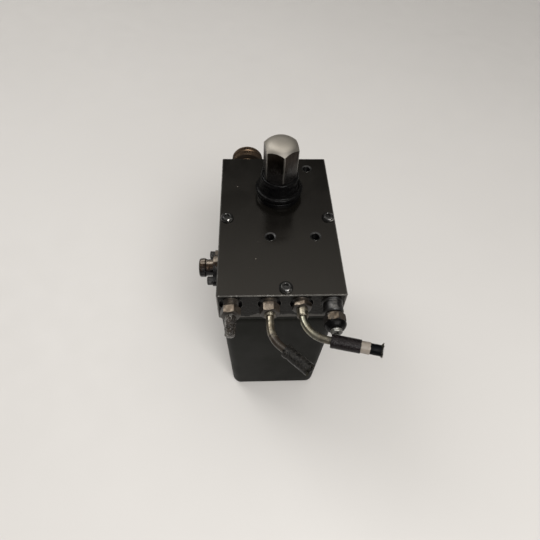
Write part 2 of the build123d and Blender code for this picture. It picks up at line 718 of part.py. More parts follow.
# ---------------------------------------------------------------- export
nodes = {
    "valve_block": make_valve_block,
    "block_gasket": make_block_gasket,
    "tank": make_tank,
    "tank_inserts": make_tank_inserts,
    "cover_screws": make_cover_screws,
    "drive_spindle": make_drive_spindle,
    "dust_boot": make_dust_boot,
    "gland_flange": make_gland_flange,
    "shaft_seal": make_shaft_seal,
    "spindle_bushes": make_spindle_bushes,
    "eccentric_crank": make_eccentric_crank,
    "crank_dowel": make_crank_dowel,
    "crank_roller": make_crank_roller,
    "pump_barrel": make_pump_barrel,
    "pump_screws": make_pump_screws,
    "pump_plunger": make_pump_plunger,
    "plunger_seal": make_plunger_seal,
    "pump_plug": make_pump_plug,
    "suction_seat": make_suction_seat,
    "suction_ball": make_suction_ball,
    "suction_pipe": make_suction_pipe,
    "suction_strainer": make_suction_strainer,
    "delivery_ball": make_delivery_ball,
    "delivery_spring": make_delivery_spring,
    "relief_body": make_relief_body,
    "relief_poppet": make_relief_poppet,
    "relief_spring": make_relief_spring,
    "relief_adjuster": make_relief_adjuster,
    "relief_locknut": make_relief_locknut,
    "cartridge_body": make_cartridge_body,
    "cartridge_seals": make_cartridge_seals,
    "valve_spool": make_valve_spool,
    "armature": make_armature,
    "core_tube": make_core_tube,
    "spool_spring": make_spool_spring,
    "solenoid_coil": make_solenoid_coil,
    "coil_nut": make_coil_nut,
    "coil_leads": make_coil_leads,
    "filler_neck": make_filler_neck,
    "filler_seal": make_filler_seal,
    "filler_cap": make_filler_cap,
    "connector_flange": make_connector_flange,
    "connector_ring": make_connector_ring,
    "connector_insert": make_connector_insert,
    "connector_pins": make_connector_pins,
    "connector_screws": make_connector_screws,
    "union_nuts": make_union_nuts,
    "tube_sleeves": make_tube_sleeves,
    "port_tube_2": make_port_tube_2,
    "port_tube_3": make_port_tube_3,
    "hose_stub_2": make_hose_stub_2,
    "hose_sleeve_3": make_hose_sleeve_3,
    "hose_liner_3": make_hose_liner_3,
    "hose_core_3": make_hose_core_3,
    "port_stub_1": make_port_stub_1,
    "dust_cap_1": make_dust_cap_1,
    "fitting_4_adapter": make_fitting_4_adapter,
    "fitting_4_nut": make_fitting_4_nut,
    "fitting_4_cap": make_fitting_4_cap,
    "fitting_4_tube": make_fitting_4_tube,
}

os.makedirs("parts", exist_ok=True)
for name, make in nodes.items():
    made = make()
    solids = made if isinstance(made, list) else [made]
    loose = [solid for shape in solids for solid in shape.solids()]
    export_step(Compound(children=loose) if len(loose) > 1 else loose[0], f"parts/{name}.step")
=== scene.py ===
"""Looks of the hydraulic power block: camera, lights, materials and the detailed outer pieces.

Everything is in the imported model's frame.  Outlines and paths are written in millimetres, and
add_piece turns them into metres; the camera, the lights and the shader scales are in metres.
"""

import json
from math import acos, cos, exp, pi, radians, sin, tan, tau
import random

import bpy
from mathutils import Matrix, Vector, noise


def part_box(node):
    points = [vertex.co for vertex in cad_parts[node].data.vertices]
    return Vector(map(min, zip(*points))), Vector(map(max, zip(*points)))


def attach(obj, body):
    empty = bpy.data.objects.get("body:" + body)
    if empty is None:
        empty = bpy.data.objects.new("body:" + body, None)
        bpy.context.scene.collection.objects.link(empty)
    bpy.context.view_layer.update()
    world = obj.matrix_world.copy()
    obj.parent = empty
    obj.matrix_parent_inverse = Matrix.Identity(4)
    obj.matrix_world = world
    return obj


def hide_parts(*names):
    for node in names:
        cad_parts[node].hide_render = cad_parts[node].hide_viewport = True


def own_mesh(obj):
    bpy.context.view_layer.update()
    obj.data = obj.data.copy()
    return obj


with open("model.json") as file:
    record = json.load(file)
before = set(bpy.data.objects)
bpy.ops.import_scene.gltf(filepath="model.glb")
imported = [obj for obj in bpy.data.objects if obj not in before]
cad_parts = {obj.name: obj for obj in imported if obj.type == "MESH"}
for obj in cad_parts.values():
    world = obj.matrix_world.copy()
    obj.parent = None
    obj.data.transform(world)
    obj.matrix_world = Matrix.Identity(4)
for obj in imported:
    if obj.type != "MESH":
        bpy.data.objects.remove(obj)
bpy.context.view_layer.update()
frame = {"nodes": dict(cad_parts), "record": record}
MM = 0.001
nodes = frame["nodes"]


# ------------------------------------------------------------------ places read from the frame
def middle(name):
    low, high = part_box(name)
    return (low + high) / 2 / MM


def low_of(name):
    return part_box(name)[0] / MM


def high_of(name):
    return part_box(name)[1] / MM


block_low, block_high = low_of("valve_block"), high_of("valve_block")
tank_low, tank_high = low_of("tank"), high_of("tank")
top = block_high.z
spindle = middle("dust_boot")
spindle_axis = ((spindle.x, spindle.y, 0), (0, 0, 1))
port_z = middle("fitting_4_nut").z
port_1_x = middle("port_stub_1").x
cad_tube_radius = 3.0
port_2_x = low_of("port_tube_2").x + cad_tube_radius
port_3_x = low_of("port_tube_3").x + cad_tube_radius
port_4_x = middle("fitting_4_nut").x
filler = middle("filler_cap")
filler_axis = ((filler.x, 0, filler.z), (0, 1, 0))
plug = middle("connector_ring")


def port_axis(x):
    return (x, 0, port_z), (0, 1, 0)


def on_first(index, node):
    """The node that a row of like pieces replaces, named once."""
    return node if index == 0 else ()


# ------------------------------------------------------------------ camera, light and floor
def make_camera():
    """Looks down at the top face from in front, a little from the left."""
    pitch, yaw, roll = 0.93432, 0.07673, 0.05139
    forward = Vector((sin(yaw) * cos(pitch), cos(yaw) * cos(pitch), -sin(pitch)))
    right = Vector((cos(yaw), -sin(yaw), 0.0))
    up = right.cross(forward)
    right, up = around(right, up, roll), around(up, -right, roll)
    data = bpy.data.cameras.new("camera")
    data.sensor_width = 36.0
    data.lens = 27.67
    data.clip_start = 0.01
    camera = bpy.data.objects.new("camera", data)
    place = (-0.02338, -0.24916, 0.45243)
    turn = Matrix((right, up, -forward)).transposed()
    camera.matrix_world = Matrix.Translation(place) @ turn.to_4x4()
    bpy.context.scene.collection.objects.link(camera)
    bpy.context.scene.camera = camera


def area_light(name, place, target, size, size_y, power, colour=(1.0, 1.0, 1.0)):
    data = bpy.data.lights.new(name, "AREA")
    data.shape = "RECTANGLE"
    data.size, data.size_y = size, size_y
    data.energy = power
    data.color = colour
    lamp = bpy.data.objects.new(name, data)
    lamp.location = place
    lamp.rotation_euler = (Vector(target) - Vector(place)).to_track_quat("-Z", "Y").to_euler()
    bpy.context.scene.collection.objects.link(lamp)


def make_world():
    """Dim near the horizon, bright high overhead."""
    world = bpy.data.worlds.new("studio")
    world.use_nodes = True
    tree = world.node_tree
    background = tree.nodes["Background"]
    background.inputs["Color"].default_value = (1.0, 0.972, 0.925, 1.0)
    split = tree.nodes.new("ShaderNodeSeparateXYZ")
    ramp = tree.nodes.new("ShaderNodeMapRange")
    ramp.interpolation_type = "SMOOTHSTEP"
    for socket, number in zip(list(ramp.inputs)[1:5], (0.62, 0.92, 0.05, 1.2)):
        socket.default_value = number
    tree.links.new(tree.nodes.new("ShaderNodeTexCoord").outputs["Generated"], split.inputs[0])
    tree.links.new(split.outputs[2], ramp.inputs[0])
    tree.links.new(ramp.outputs["Result"], background.inputs["Strength"])
    bpy.context.scene.world = world


def make_lights():
    make_world()
    area_light("key", (0.30, -1.00, 1.30), (0.0, -0.15, 0.0), 0.9, 0.7, 19.0, (1.0, 0.985, 0.96))
    area_light("side", (-0.9, 0.75, 1.4), (0.1, 0.3, 0.0), 0.8, 0.8, 9.0, (1.0, 0.99, 0.97))
    bpy.context.scene.view_settings.view_transform = "Standard"


def make_floor(material):
    mesh = bpy.data.meshes.new("floor")
    mesh.from_pydata([(-3, -3, 0), (3, -3, 0), (3, 3, 0), (-3, 3, 0)], [], [(0, 1, 2, 3)])
    mesh.materials.append(material)
    floor = bpy.data.objects.new("floor", mesh)
    bpy.context.scene.collection.objects.link(floor)


# ------------------------------------------------------------------ shader helpers
class Shader:
    """A material built node by node around one Principled BSDF."""

    def __init__(self, name, **fixed):
        self.material = bpy.data.materials.new(name)
        self.material.use_nodes = True
        self.tree = self.material.node_tree
        self.surface = self.tree.nodes["Principled BSDF"]
        for socket, value in fixed.items():
            self.surface.inputs[socket.replace("_", " ")].default_value = value
        self.place = self.node("ShaderNodeTexCoord").outputs["Object"]

    def node(self, kind, **settings):
        made = self.tree.nodes.new(kind)
        for name, value in settings.items():
            setattr(made, name, value)
        return made

    def feed(self, socket, value):
        if isinstance(value, bpy.types.NodeSocket):
            self.tree.links.new(value, socket)
        elif isinstance(value, (tuple, list)) and socket.type == "RGBA":
            socket.default_value = (*value[:3], 1.0)
        else:
            socket.default_value = value

    def stretched(self, scale):
        mapping = self.node("ShaderNodeMapping")
        self.feed(mapping.inputs["Vector"], self.place)
        mapping.inputs["Scale"].default_value = scale
        return mapping.outputs["Vector"]

    def noise(self, scale, detail=4.0, roughness=0.55, vector=None, distortion=0.0):
        made = self.node("ShaderNodeTexNoise")
        self.feed(made.inputs["Vector"], vector or self.place)
        self.feed(made.inputs["Scale"], scale)
        self.feed(made.inputs["Detail"], detail)
        self.feed(made.inputs["Roughness"], roughness)
        self.feed(made.inputs["Distortion"], distortion)
        return made.outputs["Fac"]

    def cells(self, scale):
        made = self.node("ShaderNodeTexVoronoi")
        self.feed(made.inputs["Vector"], self.place)
        self.feed(made.inputs["Scale"], scale)
        return made.outputs["Distance"]

    def axis(self, which):
        split = self.node("ShaderNodeSeparateXYZ")
        self.feed(split.inputs[0], self.place)
        return split.outputs[which]

    def facing(self, x, y, z):
        """How far the surface faces a direction, -1 to 1; it stays with the piece as it moves."""
        made = self.node("ShaderNodeVectorMath", operation="DOT_PRODUCT")
        self.feed(made.inputs[0], self.node("ShaderNodeTexCoord").outputs["Normal"])
        made.inputs[1].default_value = Vector((x, y, z)).normalized()
        return made.outputs["Value"]

    def span(self, value, low, high, out_low=0.0, out_high=1.0):
        """Maps low..high to out_low..out_high, held at the ends."""
        made = self.node("ShaderNodeMapRange", clamp=True, interpolation_type="SMOOTHSTEP")
        for socket, number in zip(made.inputs, (value, low, high, out_low, out_high)):
            self.feed(socket, number)
        return made.outputs["Result"]

    def calc(self, operation, a, b=0.0):
        made = self.node("ShaderNodeMath", operation=operation)
        self.feed(made.inputs[0], a)
        self.feed(made.inputs[1], b)
        return made.outputs[0]

    def times(self, a, b):
        return self.calc("MULTIPLY", a, b)

    def plus(self, a, b):
        return self.calc("ADD", a, b)

    def swing(self, value, amount):
        """Shifts 0..1 to swing evenly about nothing, by amount in all."""
        return self.times(self.calc("SUBTRACT", value, 0.5), amount)

    def mix(self, factor, a, b):
        made = self.node("ShaderNodeMix", data_type="RGBA")
        self.feed(made.inputs[0], factor)
        self.feed(made.inputs[6], a)
        self.feed(made.inputs[7], b)
        return made.outputs[2]

    def blend_number(self, factor, a, b):
        made = self.node("ShaderNodeMix", data_type="FLOAT")
        self.feed(made.inputs[0], factor)
        self.feed(made.inputs[2], a)
        self.feed(made.inputs[3], b)
        return made.outputs[0]

    def bump(self, height, distance, strength=1.0, under=None):
        made = self.node("ShaderNodeBump")
        self.feed(made.inputs["Height"], height)
        made.inputs["Distance"].default_value = distance
        made.inputs["Strength"].default_value = strength
        if under:
            self.feed(made.inputs["Normal"], under)
        return made.outputs["Normal"]

    def done(self, colour=None, roughness=None, metallic=None, normal=None):
        for name, value in (("Base Color", colour), ("Roughness", roughness), ("Metallic", metallic),
                            ("Normal", normal)):
            if value is not None:
                self.feed(self.surface.inputs[name], value)
        return self.material


# ------------------------------------------------------------------ materials
def floor_material():
    s = Shader("pale_floor")
    cloud = s.noise(2.2, 3.0)
    colour = s.mix(cloud, (0.585, 0.570, 0.555), (0.635, 0.620, 0.605))
    rough = s.span(s.noise(30.0), 0.3, 0.7, 0.5, 0.62)
    return s.done(colour, rough, None, s.bump(s.noise(400.0), 0.0001, 0.2))


def block_material():
    """Semi-gloss black block: smudges, fine scratches, bright chipped edges."""
    s = Shader("black_block", IOR=1.45, Specular_Tint=(1.0, 0.94, 0.85, 1.0))
    half = [(block_high[i] - block_low[i]) / 2 * MM for i in range(3)]
    centre = (block_high + block_low) / 2 * MM
    near = []
    for i in range(3):
        out = s.calc("ABSOLUTE", s.calc("SUBTRACT", s.axis(i), centre[i]))
        near.append(s.span(out, half[i] - 0.0012, half[i] - 0.0004))
    pairs = [s.times(near[i], near[j]) for i, j in ((0, 1), (1, 2), (0, 2))]
    edge = s.calc("MAXIMUM", s.calc("MAXIMUM", pairs[0], pairs[1]), pairs[2])
    chips = s.span(s.noise(260.0, 6.0, 0.7), 0.56, 0.62)
    worn = s.times(edge, s.plus(s.times(chips, 0.22), 0.13))
    smudge = s.noise(28.0, 5.0, 0.6, distortion=0.6)
    dust = s.span(s.noise(900.0, 2.0), 0.62, 0.78)
    scratches = s.span(s.noise(90.0, 6.0, 0.7, vector=s.stretched((0.35, 3.2, 1.0))), 0.66, 0.72)
    base = s.mix(smudge, (0.0028, 0.0025, 0.0021), (0.0056, 0.0050, 0.0042))
    base = s.mix(s.times(dust, 0.07), base, (0.12, 0.115, 0.10))
    base = s.mix(s.times(scratches, 0.06), base, (0.12, 0.115, 0.105))
    colour = s.mix(worn, base, (0.42, 0.41, 0.39))
    rough = s.span(smudge, 0.35, 0.68, 0.16, 0.26)
    rough = s.plus(rough, s.times(scratches, 0.12))
    normal = s.bump(s.noise(1500.0, 2.0), 0.00004, 0.35)
    normal = s.bump(worn, 0.0002, 0.4, normal)
    return s.done(colour, rough, s.times(worn, 0.8), normal)


def tank_material():
    """Matt black tank with a faint moulded grain, pale streaks running up and down and pale specks of dust.
    """
    s = Shader("tank_plastic", IOR=1.14, Specular_Tint=(0.98, 1.0, 0.90, 1.0))
    cloud = s.noise(14.0, 5.0, 0.6)
    streak = s.noise(40.0, 4.0, 0.6, vector=s.stretched((1.0, 1.0, 0.12)))
    base = s.mix(cloud, (0.0038, 0.0039, 0.0032), (0.0072, 0.0072, 0.0059))
    base = s.mix(s.span(streak, 0.60, 0.75, 0.0, 0.20), base, (0.035, 0.033, 0.029))
    speck = s.span(s.cells(420.0), 0.0, 0.07, 0.35, 0.0)
    base = s.mix(speck, base, (0.12, 0.11, 0.10))
    rough = s.span(cloud, 0.3, 0.7, 0.40, 0.54)
    normal = s.bump(s.noise(700.0, 3.0), 0.00012, 0.4)
    return s.done(base, rough, None, normal)


def grease_mask(s, from_z, to_z, scale=170.0):
    """1 where black grease covers the metal, mostly below to_z."""
    ragged = s.swing(s.noise(scale, 5.0, 0.6), 0.022)
    return s.span(s.plus(s.axis(2), ragged), from_z * MM, to_z * MM, 1.0, 0.0)


def hexagon_material():
    """Turned end bright, flats under brown oil and black grease towards the foot; painted shade darkens the
    two front flats and the front-facing part of the turned bevel.
    """
    s = Shader("bright_steel")
    grain = s.noise(160.0, 5.0, 0.6, vector=s.stretched((7.0, 7.0, 0.45)))
    x = s.calc("SUBTRACT", s.axis(0), spindle.x * MM)
    y = s.calc("SUBTRACT", s.axis(1), spindle.y * MM)
    radius = s.calc("SQRT", s.plus(s.times(x, x), s.times(y, y)))
    rings = s.calc("SINE", s.times(radius, 9000.0))
    turned = s.span(s.facing(0.0, 0.0, 1.0), 0.25, 0.5)
    marks = s.blend_number(turned, grain, s.plus(s.times(rings, 0.25), 0.5))
    clean = s.mix(marks, (0.35, 0.325, 0.285), (0.45, 0.42, 0.37))
    film = s.span(s.noise(70.0, 6.0, 0.65, vector=s.stretched((1.0, 1.0, 0.35))), 0.36, 0.64)
    side = s.mix(film, (0.050, 0.040, 0.032), (0.014, 0.010, 0.008))
    # Painted shade: the left front flat is darkened because of the way it faces the light.
    left_flat_shade = s.span(s.facing(-0.39, -0.92, 0.0), 0.90, 0.99)
    side = s.mix(s.times(left_flat_shade, 0.86), side, (0.012, 0.009, 0.007))
    # Painted shade on the right front flat too; the streak mask leaves lighter vertical streaks in it.
    right_flat_shade = s.span(s.facing(0.61, -0.79, 0.0), 0.90, 0.99)
    streak = s.span(s.noise(210.0, 4.0, 0.6, vector=s.stretched((1.0, 1.0, 0.2))), 0.35, 0.62, 0.9, 0.35)
    side = s.mix(s.times(right_flat_shade, streak), side, (0.010, 0.006, 0.005))
    corner = s.span(radius, 0.01500, 0.01530)
    side = s.mix(s.times(corner, s.span(grain, 0.35, 0.6, 0.2, 0.8)), side, (0.26, 0.245, 0.225))
    # Painted shade: the part of the turned bevel that faces the front and up is darkened.
    bevel_shade = s.span(s.facing(0.0, 0.0, 1.0), 0.76, 0.96, 1.0, 0.0)
    bevel_shade = s.times(bevel_shade, s.span(s.facing(0.1, -0.72, 0.69), 0.70, 0.97, 0.1, 0.85))
    clean = s.mix(bevel_shade, clean, (0.17, 0.158, 0.143))
    metal = s.mix(turned, side, clean)
    grease = s.times(grease_mask(s, 217.0, 236.0), s.span(corner, 0.0, 1.0, 1.0, 0.7))
    colour = s.mix(grease, metal, (0.008, 0.0072, 0.007))
    rough = s.blend_number(turned, s.span(grain, 0.3, 0.7, 0.26, 0.38), 0.56)
    rough = s.blend_number(grease, rough, 0.24)
    normal = s.bump(marks, 0.00006, 0.5)
    normal = s.bump(s.noise(330.0, 4.0), 0.0006, 0.12, normal)
    return s.done(colour, rough, s.span(grease, 0.0, 1.0, 1.0, 0.0), normal)


def greasy_rubber_material(name, dark=(0.0014, 0.0014, 0.0018), light=(0.004, 0.0038, 0.0037), low=0.14,
        high=0.36):
    s = Shader(name, IOR=1.17)
    cloud = s.noise(120.0, 6.0, 0.65, distortion=0.5)
    lumps = s.noise(260.0, 5.0, 0.6)
    grit = s.span(s.noise(1300.0, 3.0), 0.66, 0.76, 0.0, 0.3)
    colour = s.mix(grit, s.mix(cloud, dark, light), (0.07, 0.064, 0.055))
    normal = s.bump(lumps, 0.0009, 0.35)
    return s.done(colour, s.span(cloud, 0.35, 0.65, low, high), None, normal)


def worn_metal_material(name, bright, stain, dirt, rough=(0.28, 0.5), scale=150.0, dirt_amount=0.5,
                        stain_amount=0.6, side_shade=0.0, shade_from=0.35, shade_to=0.8):
    """Plated metal with stains and dark dirt in patches; the last three arguments paint shade, in the dirt
    colour, on all but the upward faces.
    """
    s = Shader(name)
    fine = s.noise(scale * 6, 4.0)
    patches = s.span(s.noise(scale, 6.0, 0.65, distortion=0.4), 0.40, 0.64)
    dirt_and_side_shade = s.span(s.noise(scale * 1.7, 6.0, 0.7), 0.52, 0.68)
    dirt_and_side_shade = s.times(dirt_and_side_shade, dirt_amount)
    if side_shade:
        # Painted shade: all faces but those pointing up are darkened, as light from above would leave them.
        ragged = s.swing(s.noise(scale * 2.5, 4.0), 0.7)
        low = s.span(s.plus(s.facing(0.0, 0.0, 1.0), ragged), shade_from, shade_to, side_shade, 0.0)
        dirt_and_side_shade = s.calc("MAXIMUM", dirt_and_side_shade, low)
    colour = s.mix(s.times(fine, 0.25), bright, stain)
    colour = s.mix(s.times(patches, stain_amount), colour, stain)
    colour = s.mix(dirt_and_side_shade, colour, dirt)
    roughness = s.plus(s.span(patches, 0.0, 1.0, *rough), s.times(dirt_and_side_shade, 0.12))
    metallic = s.span(dirt_and_side_shade, 0.0, 1.0, 1.0, 0.15)
    normal = s.bump(fine, 0.00006, 0.5)
    normal = s.bump(dirt_and_side_shade, 0.0002, 0.5, normal)
    return s.done(colour, roughness, metallic, normal)


def black_screw_material():
    """Glossy black dome with a painted highlight: a bright metal crescent on its front right, where the dome
    faces the light.
    """
    s = Shader("black_screw", IOR=1.5)
    cloud = s.noise(420.0, 5.0, 0.6)
    # Painted highlight: the crescent is placed by the direction the dome faces.
    crescent_highlight = s.plus(s.facing(0.42, -0.70, 0.58), s.swing(cloud, 0.16))
    crescent_highlight = s.span(crescent_highlight, 0.90, 0.97)
    base = s.mix(cloud, (0.006, 0.0058, 0.0056), (0.030, 0.029, 0.028))
    colour = s.mix(crescent_highlight, base, (0.50, 0.49, 0.47))
    return s.done(colour, s.span(cloud, 0.3, 0.7, 0.10, 0.22), s.span(crescent_highlight, 0.0, 1.0, 0.3, 1.0),
                  s.bump(cloud, 0.0002, 0.35))


def hose_material(name, dark, light, low, high, scuff_and_sheen_amount=0.3, scuff_and_sheen_colour=(0.34, 0.33, 0.32), streaks=0.0):
    """Hose rubber with scuffs kept to the faces that point up and a little to the front, so the top is
    painted lighter than the black underside; streaks run along a hose that points along X.
    """
    s = Shader(name, IOR=1.26)
    cloud = s.noise(190.0, 6.0, 0.65)
    scuffs_and_top_sheen = s.span(s.noise(900.0, 6.0, 0.75, distortion=0.5), 0.42, 0.66)
    # Painted highlight: the scuffs only show where the hose faces up and a little to the front.
    scuffs_and_top_sheen = s.times(scuffs_and_top_sheen, s.span(s.facing(0.0, -0.2, 1.0), 0.1, 0.75))
    colour = s.mix(cloud, dark, light)
    if streaks:
        lines = s.span(s.noise(220.0, 5.0, 0.6, vector=s.stretched((0.12, 1.6, 1.6))), 0.52, 0.66)
        scuffs_and_top_sheen = s.calc("MAXIMUM", scuffs_and_top_sheen, s.times(lines, streaks))
    colour = s.mix(s.times(scuffs_and_top_sheen, scuff_and_sheen_amount), colour, scuff_and_sheen_colour)
    normal = s.bump(cloud, 0.0004, 0.35)
    return s.done(colour, s.span(cloud, 0.35, 0.65, low, high), None, s.bump(scuffs_and_top_sheen, 0.0002, 0.4, normal))


def band_material():
    s = Shader("white_band", IOR=1.45)
    dirt = s.span(s.noise(300.0, 6.0, 0.7), 0.45, 0.72)
    colour = s.mix(s.times(dirt, 0.45), (0.235, 0.205, 0.175), (0.10, 0.082, 0.063))
    return s.done(colour, s.span(dirt, 0.0, 1.0, 0.38, 0.6), None, s.bump(s.cells(1600.0), 0.0001, 0.3))


def clear_cap_material():
    """Crumpled, oily, see-through plastic, brown and dark with milky folds that run along it."""
    s = Shader("clear_cap", IOR=1.46, Transmission_Weight=0.6)
    folds = s.noise(300.0, 5.0, 0.65, vector=s.stretched((1.0, 0.34, 1.0)), distortion=0.9)
    film = s.span(folds, 0.57, 0.63)
    oil = s.span(s.noise(150.0, 5.0, 0.65, distortion=0.5), 0.36, 0.52)
    colour = s.mix(s.times(oil, 0.9), (0.085, 0.068, 0.054), (0.022, 0.017, 0.013))
    colour = s.mix(film, colour, (0.74, 0.71, 0.66))
    normal = s.bump(s.noise(620.0, 5.0, 0.65), 0.0016, 0.9, s.bump(folds, 0.0012, 0.8))
    return s.done(colour, s.span(film, 0.0, 1.0, 0.03, 0.20), None, normal)


def plain_metal_material(name, light, dark, rough):
    """Clean machined metal of the inner parts."""
    s = Shader(name, Metallic=1.0)
    grain = s.noise(500.0, 4.0)
    return s.done(s.mix(grain, dark, light), s.span(grain, 0.3, 0.7, rough - 0.06, rough + 0.08), None,
                  s.bump(grain, 0.00005, 0.4))


def plain_plastic_material(name, light, dark, rough):
    s = Shader(name, IOR=1.48)
    grain = s.noise(350.0, 5.0)
    return s.done(s.mix(grain, dark, light), s.span(grain, 0.3, 0.7, rough - 0.08, rough + 0.08), None,
                  s.bump(s.noise(900.0), 0.00008, 0.4))


def all_materials():
    """One material for each of the record's slots, and three finishes for single pieces."""
    made = {
        "black_block": block_material(),
        "tank_plastic": tank_material(),
        "rubber_black": greasy_rubber_material("rubber_black"),
        "black_screw": black_screw_material(),
        "bright_steel": hexagon_material(),
        "white_band": band_material(),
        "clear_cap": clear_cap_material(),
        "hose_rubber": hose_material("hose_rubber", (0.0018, 0.0017, 0.0017), (0.005, 0.0047, 0.0045),
                                     0.24, 0.42, 0.45, (0.070, 0.065, 0.057)),
        "hose_sleeve": hose_material("hose_sleeve", (0.0025, 0.0018, 0.0021), (0.0065, 0.0048, 0.0055),
                                     0.16, 0.28, 0.25, (0.046, 0.036, 0.036), 0.8),
    }
    # Where given, the last three numbers of a look paint shade on all but the upward faces.
    worn_metals = {
        "zinc_steel": ((0.50, 0.50, 0.48), (0.26, 0.25, 0.22), (0.02, 0.018, 0.015),
                       (0.28, 0.5), 150.0, 0.5, 0.6, 0.9, 0.35, 0.8),
        "zinc_brown": ((0.19, 0.16, 0.128), (0.10, 0.076, 0.057), (0.014, 0.011, 0.009),
                       (0.30, 0.46), 130.0, 0.5, 0.7, 0.96, 0.45, 0.85),
        "zinc_yellow": ((0.36, 0.335, 0.27), (0.19, 0.16, 0.115), (0.03, 0.022, 0.015),
                        (0.22, 0.38), 120.0, 0.6, 0.55, 0.9, 0.1, 0.8),
        "bronze_brown": ((0.13, 0.088, 0.056), (0.060, 0.040, 0.026), (0.012, 0.009, 0.007),
                         (0.34, 0.5), 160.0, 0.8, 0.7, 0.8, 0.1, 0.85),
        # The port 4 adapter and nut keep only their tops light; the rest is painted shade.
        "port_4_adapter_finish": ((0.24, 0.235, 0.225), (0.07, 0.065, 0.06), (0.006, 0.0055, 0.0055),
                                  (0.26, 0.42), 110.0, 0.9, 0.8, 1.0, 0.85, 1.15),
        "port_4_nut_finish": ((0.12, 0.10, 0.078), (0.06, 0.043, 0.031), (0.008, 0.006, 0.0055),
                              (0.36, 0.55), 170.0, 0.9, 0.8, 0.97, 0.5, 1.0),
        "frayed_fibres": ((0.10, 0.095, 0.07), (0.035, 0.03, 0.022), (0.006, 0.005, 0.005),
                          (0.5, 0.7), 900.0, 0.8, 0.7),
    }
    clean_metals = {
        "brass_insert": ((0.78, 0.60, 0.28), (0.60, 0.44, 0.20), 0.3),
        "bronze": ((0.62, 0.43, 0.25), (0.47, 0.31, 0.18), 0.34),
        "machined_steel": ((0.62, 0.62, 0.62), (0.45, 0.45, 0.45), 0.26),
        "machined_aluminium": ((0.75, 0.75, 0.75), (0.6, 0.6, 0.6), 0.32),
        "spring_steel": ((0.45, 0.45, 0.45), (0.28, 0.28, 0.28), 0.3),
    }
    plastics = {
        "seal_plastic": ((0.72, 0.70, 0.64), (0.55, 0.53, 0.48), 0.4),
        "coil_plastic": ((0.035, 0.035, 0.035), (0.018, 0.018, 0.018), 0.4),
        "lead_insulation": ((0.35, 0.03, 0.02), (0.24, 0.02, 0.015), 0.4),
    }
    for make, looks in ((worn_metal_material, worn_metals), (plain_metal_material, clean_metals),
                        (plain_plastic_material, plastics)):
        made.update({name: make(name, *look) for name, look in looks.items()})
    return made


# ------------------------------------------------------------------ mesh helpers
def add_piece(name, outside, slot, replaced=(), sharp=32.0, material=None, body="housing"):
    """Makes a shaded mesh from (points in millimetres, faces) and hangs it on its body."""
    points, faces = outside
    mesh = bpy.data.meshes.new(name)
    mesh.from_pydata([tuple(c * MM for c in p) for p in points], [], faces)
    mesh.validate()
    mesh.shade_smooth()
    mesh.set_sharp_from_angle(angle=radians(sharp))
    mesh.materials.append(material or materials[slot])
    piece = bpy.data.objects.new(name, mesh)
    bpy.context.scene.collection.objects.link(piece)
    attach(piece, body)
    if replaced:
        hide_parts(*([replaced] if isinstance(replaced, str) else replaced))
    return piece


def basis(direction):
    """Two unit vectors square to direction."""
    d = Vector(direction).normalized()
    helper = Vector((0, 0, 1)) if abs(d.z) < 0.9 else Vector((1, 0, 0))
    u = helper.cross(d).normalized()
    return u, d.cross(u)


def eased(outline, size=0.3, steps=3):
    """Rounds the corners of a closed (radius, height) outline, except those on the axis."""
    result = []
    count = len(outline)
    for i, here in enumerate(outline):
        before, after = outline[i - 1], outline[(i + 1) % count]
        p, a, b = Vector(here), Vector(before), Vector(after)
        cut = min(size, (a - p).length * 0.4, (b - p).length * 0.4)
        if p.x < 1e-6 or cut < 0.02:
            result.append((p.x, p.y))
            continue
        first, last = p + (a - p).normalized() * cut, p + (b - p).normalized() * cut
        for step in range(steps + 1):
            t = step / steps
            q = first * (1 - t) ** 2 + p * 2 * t * (1 - t) + last * t**2
            result.append((q.x, q.y))
    return result


def around(u, v, angle):
    return u * cos(angle) + v * sin(angle)


def skin(rows, closed=True, flip=False):
    """Faces between rings of point numbers; closed joins the last ring to the first, flip turns them over."""
    faces = []
    for row, after in zip(rows, rows[1:] + rows[:1] if closed else rows[1:]):
        for k, here in enumerate(row):
            n = (k + 1) % len(row)
            loop = (here, after[k], after[n], row[n]) if flip else (here, row[n], after[n], after[k])
            loop = tuple(dict.fromkeys(loop))
            if len(loop) > 2:
                faces.append(loop)
    return faces


def lathe(outline, origin, direction, segments=96, shape=None):
    """Closed outline of (radius, height) turned about an axis; shape(angle, r, h) may change r."""
    u, v = basis(direction)
    w = Vector(direction).normalized()
    points, rows = [], []
    for r, h in outline:
        hub = Vector(origin) + w * h
        if r < 1e-6:
            rows.append([len(points)] * segments)
            points.append(hub)
            continue
        rows.append(range(len(points), len(points) + segments))
        for k in range(segments):
            angle = tau * k / segments
            points.append(hub + around(u, v, angle) * (shape(angle, r, h) if shape else r))
    return points, [face[::-1] for face in skin(rows)]


def hexagon_outline(across_flats, corner, per_side, turn):
    """Points round a hexagon whose corners are rounded, starting at a corner."""
    reach = across_flats / 2 - corner
    result = []
    for side in range(6):
        bearing = radians(60 * side) + turn
        hub = Vector((cos(bearing), sin(bearing))) * reach / cos(radians(30))
        for step in range(5):
            swing = bearing + radians(-30 + 15 * step)
            result.append(hub + Vector((cos(swing), sin(swing))) * corner)
        following = bearing + radians(60)
        next_hub = Vector((cos(following), sin(following))) * reach / cos(radians(30))
        out = bearing + radians(30)
        shift = Vector((cos(out), sin(out))) * corner
        for step in range(1, per_side):
            result.append(hub.lerp(next_hub, step / per_side) + shift)
    return result


def chamfer_height(profile, radius):
    """Height at which a (radius, height) profile reaches the radius."""
    for (r0, h0), (r1, h1) in zip(profile, profile[1:]):
        if r0 <= radius <= r1:
            return h0 + (h1 - h0) * (radius - r0) / (r1 - r0)
    return profile[-1][1]


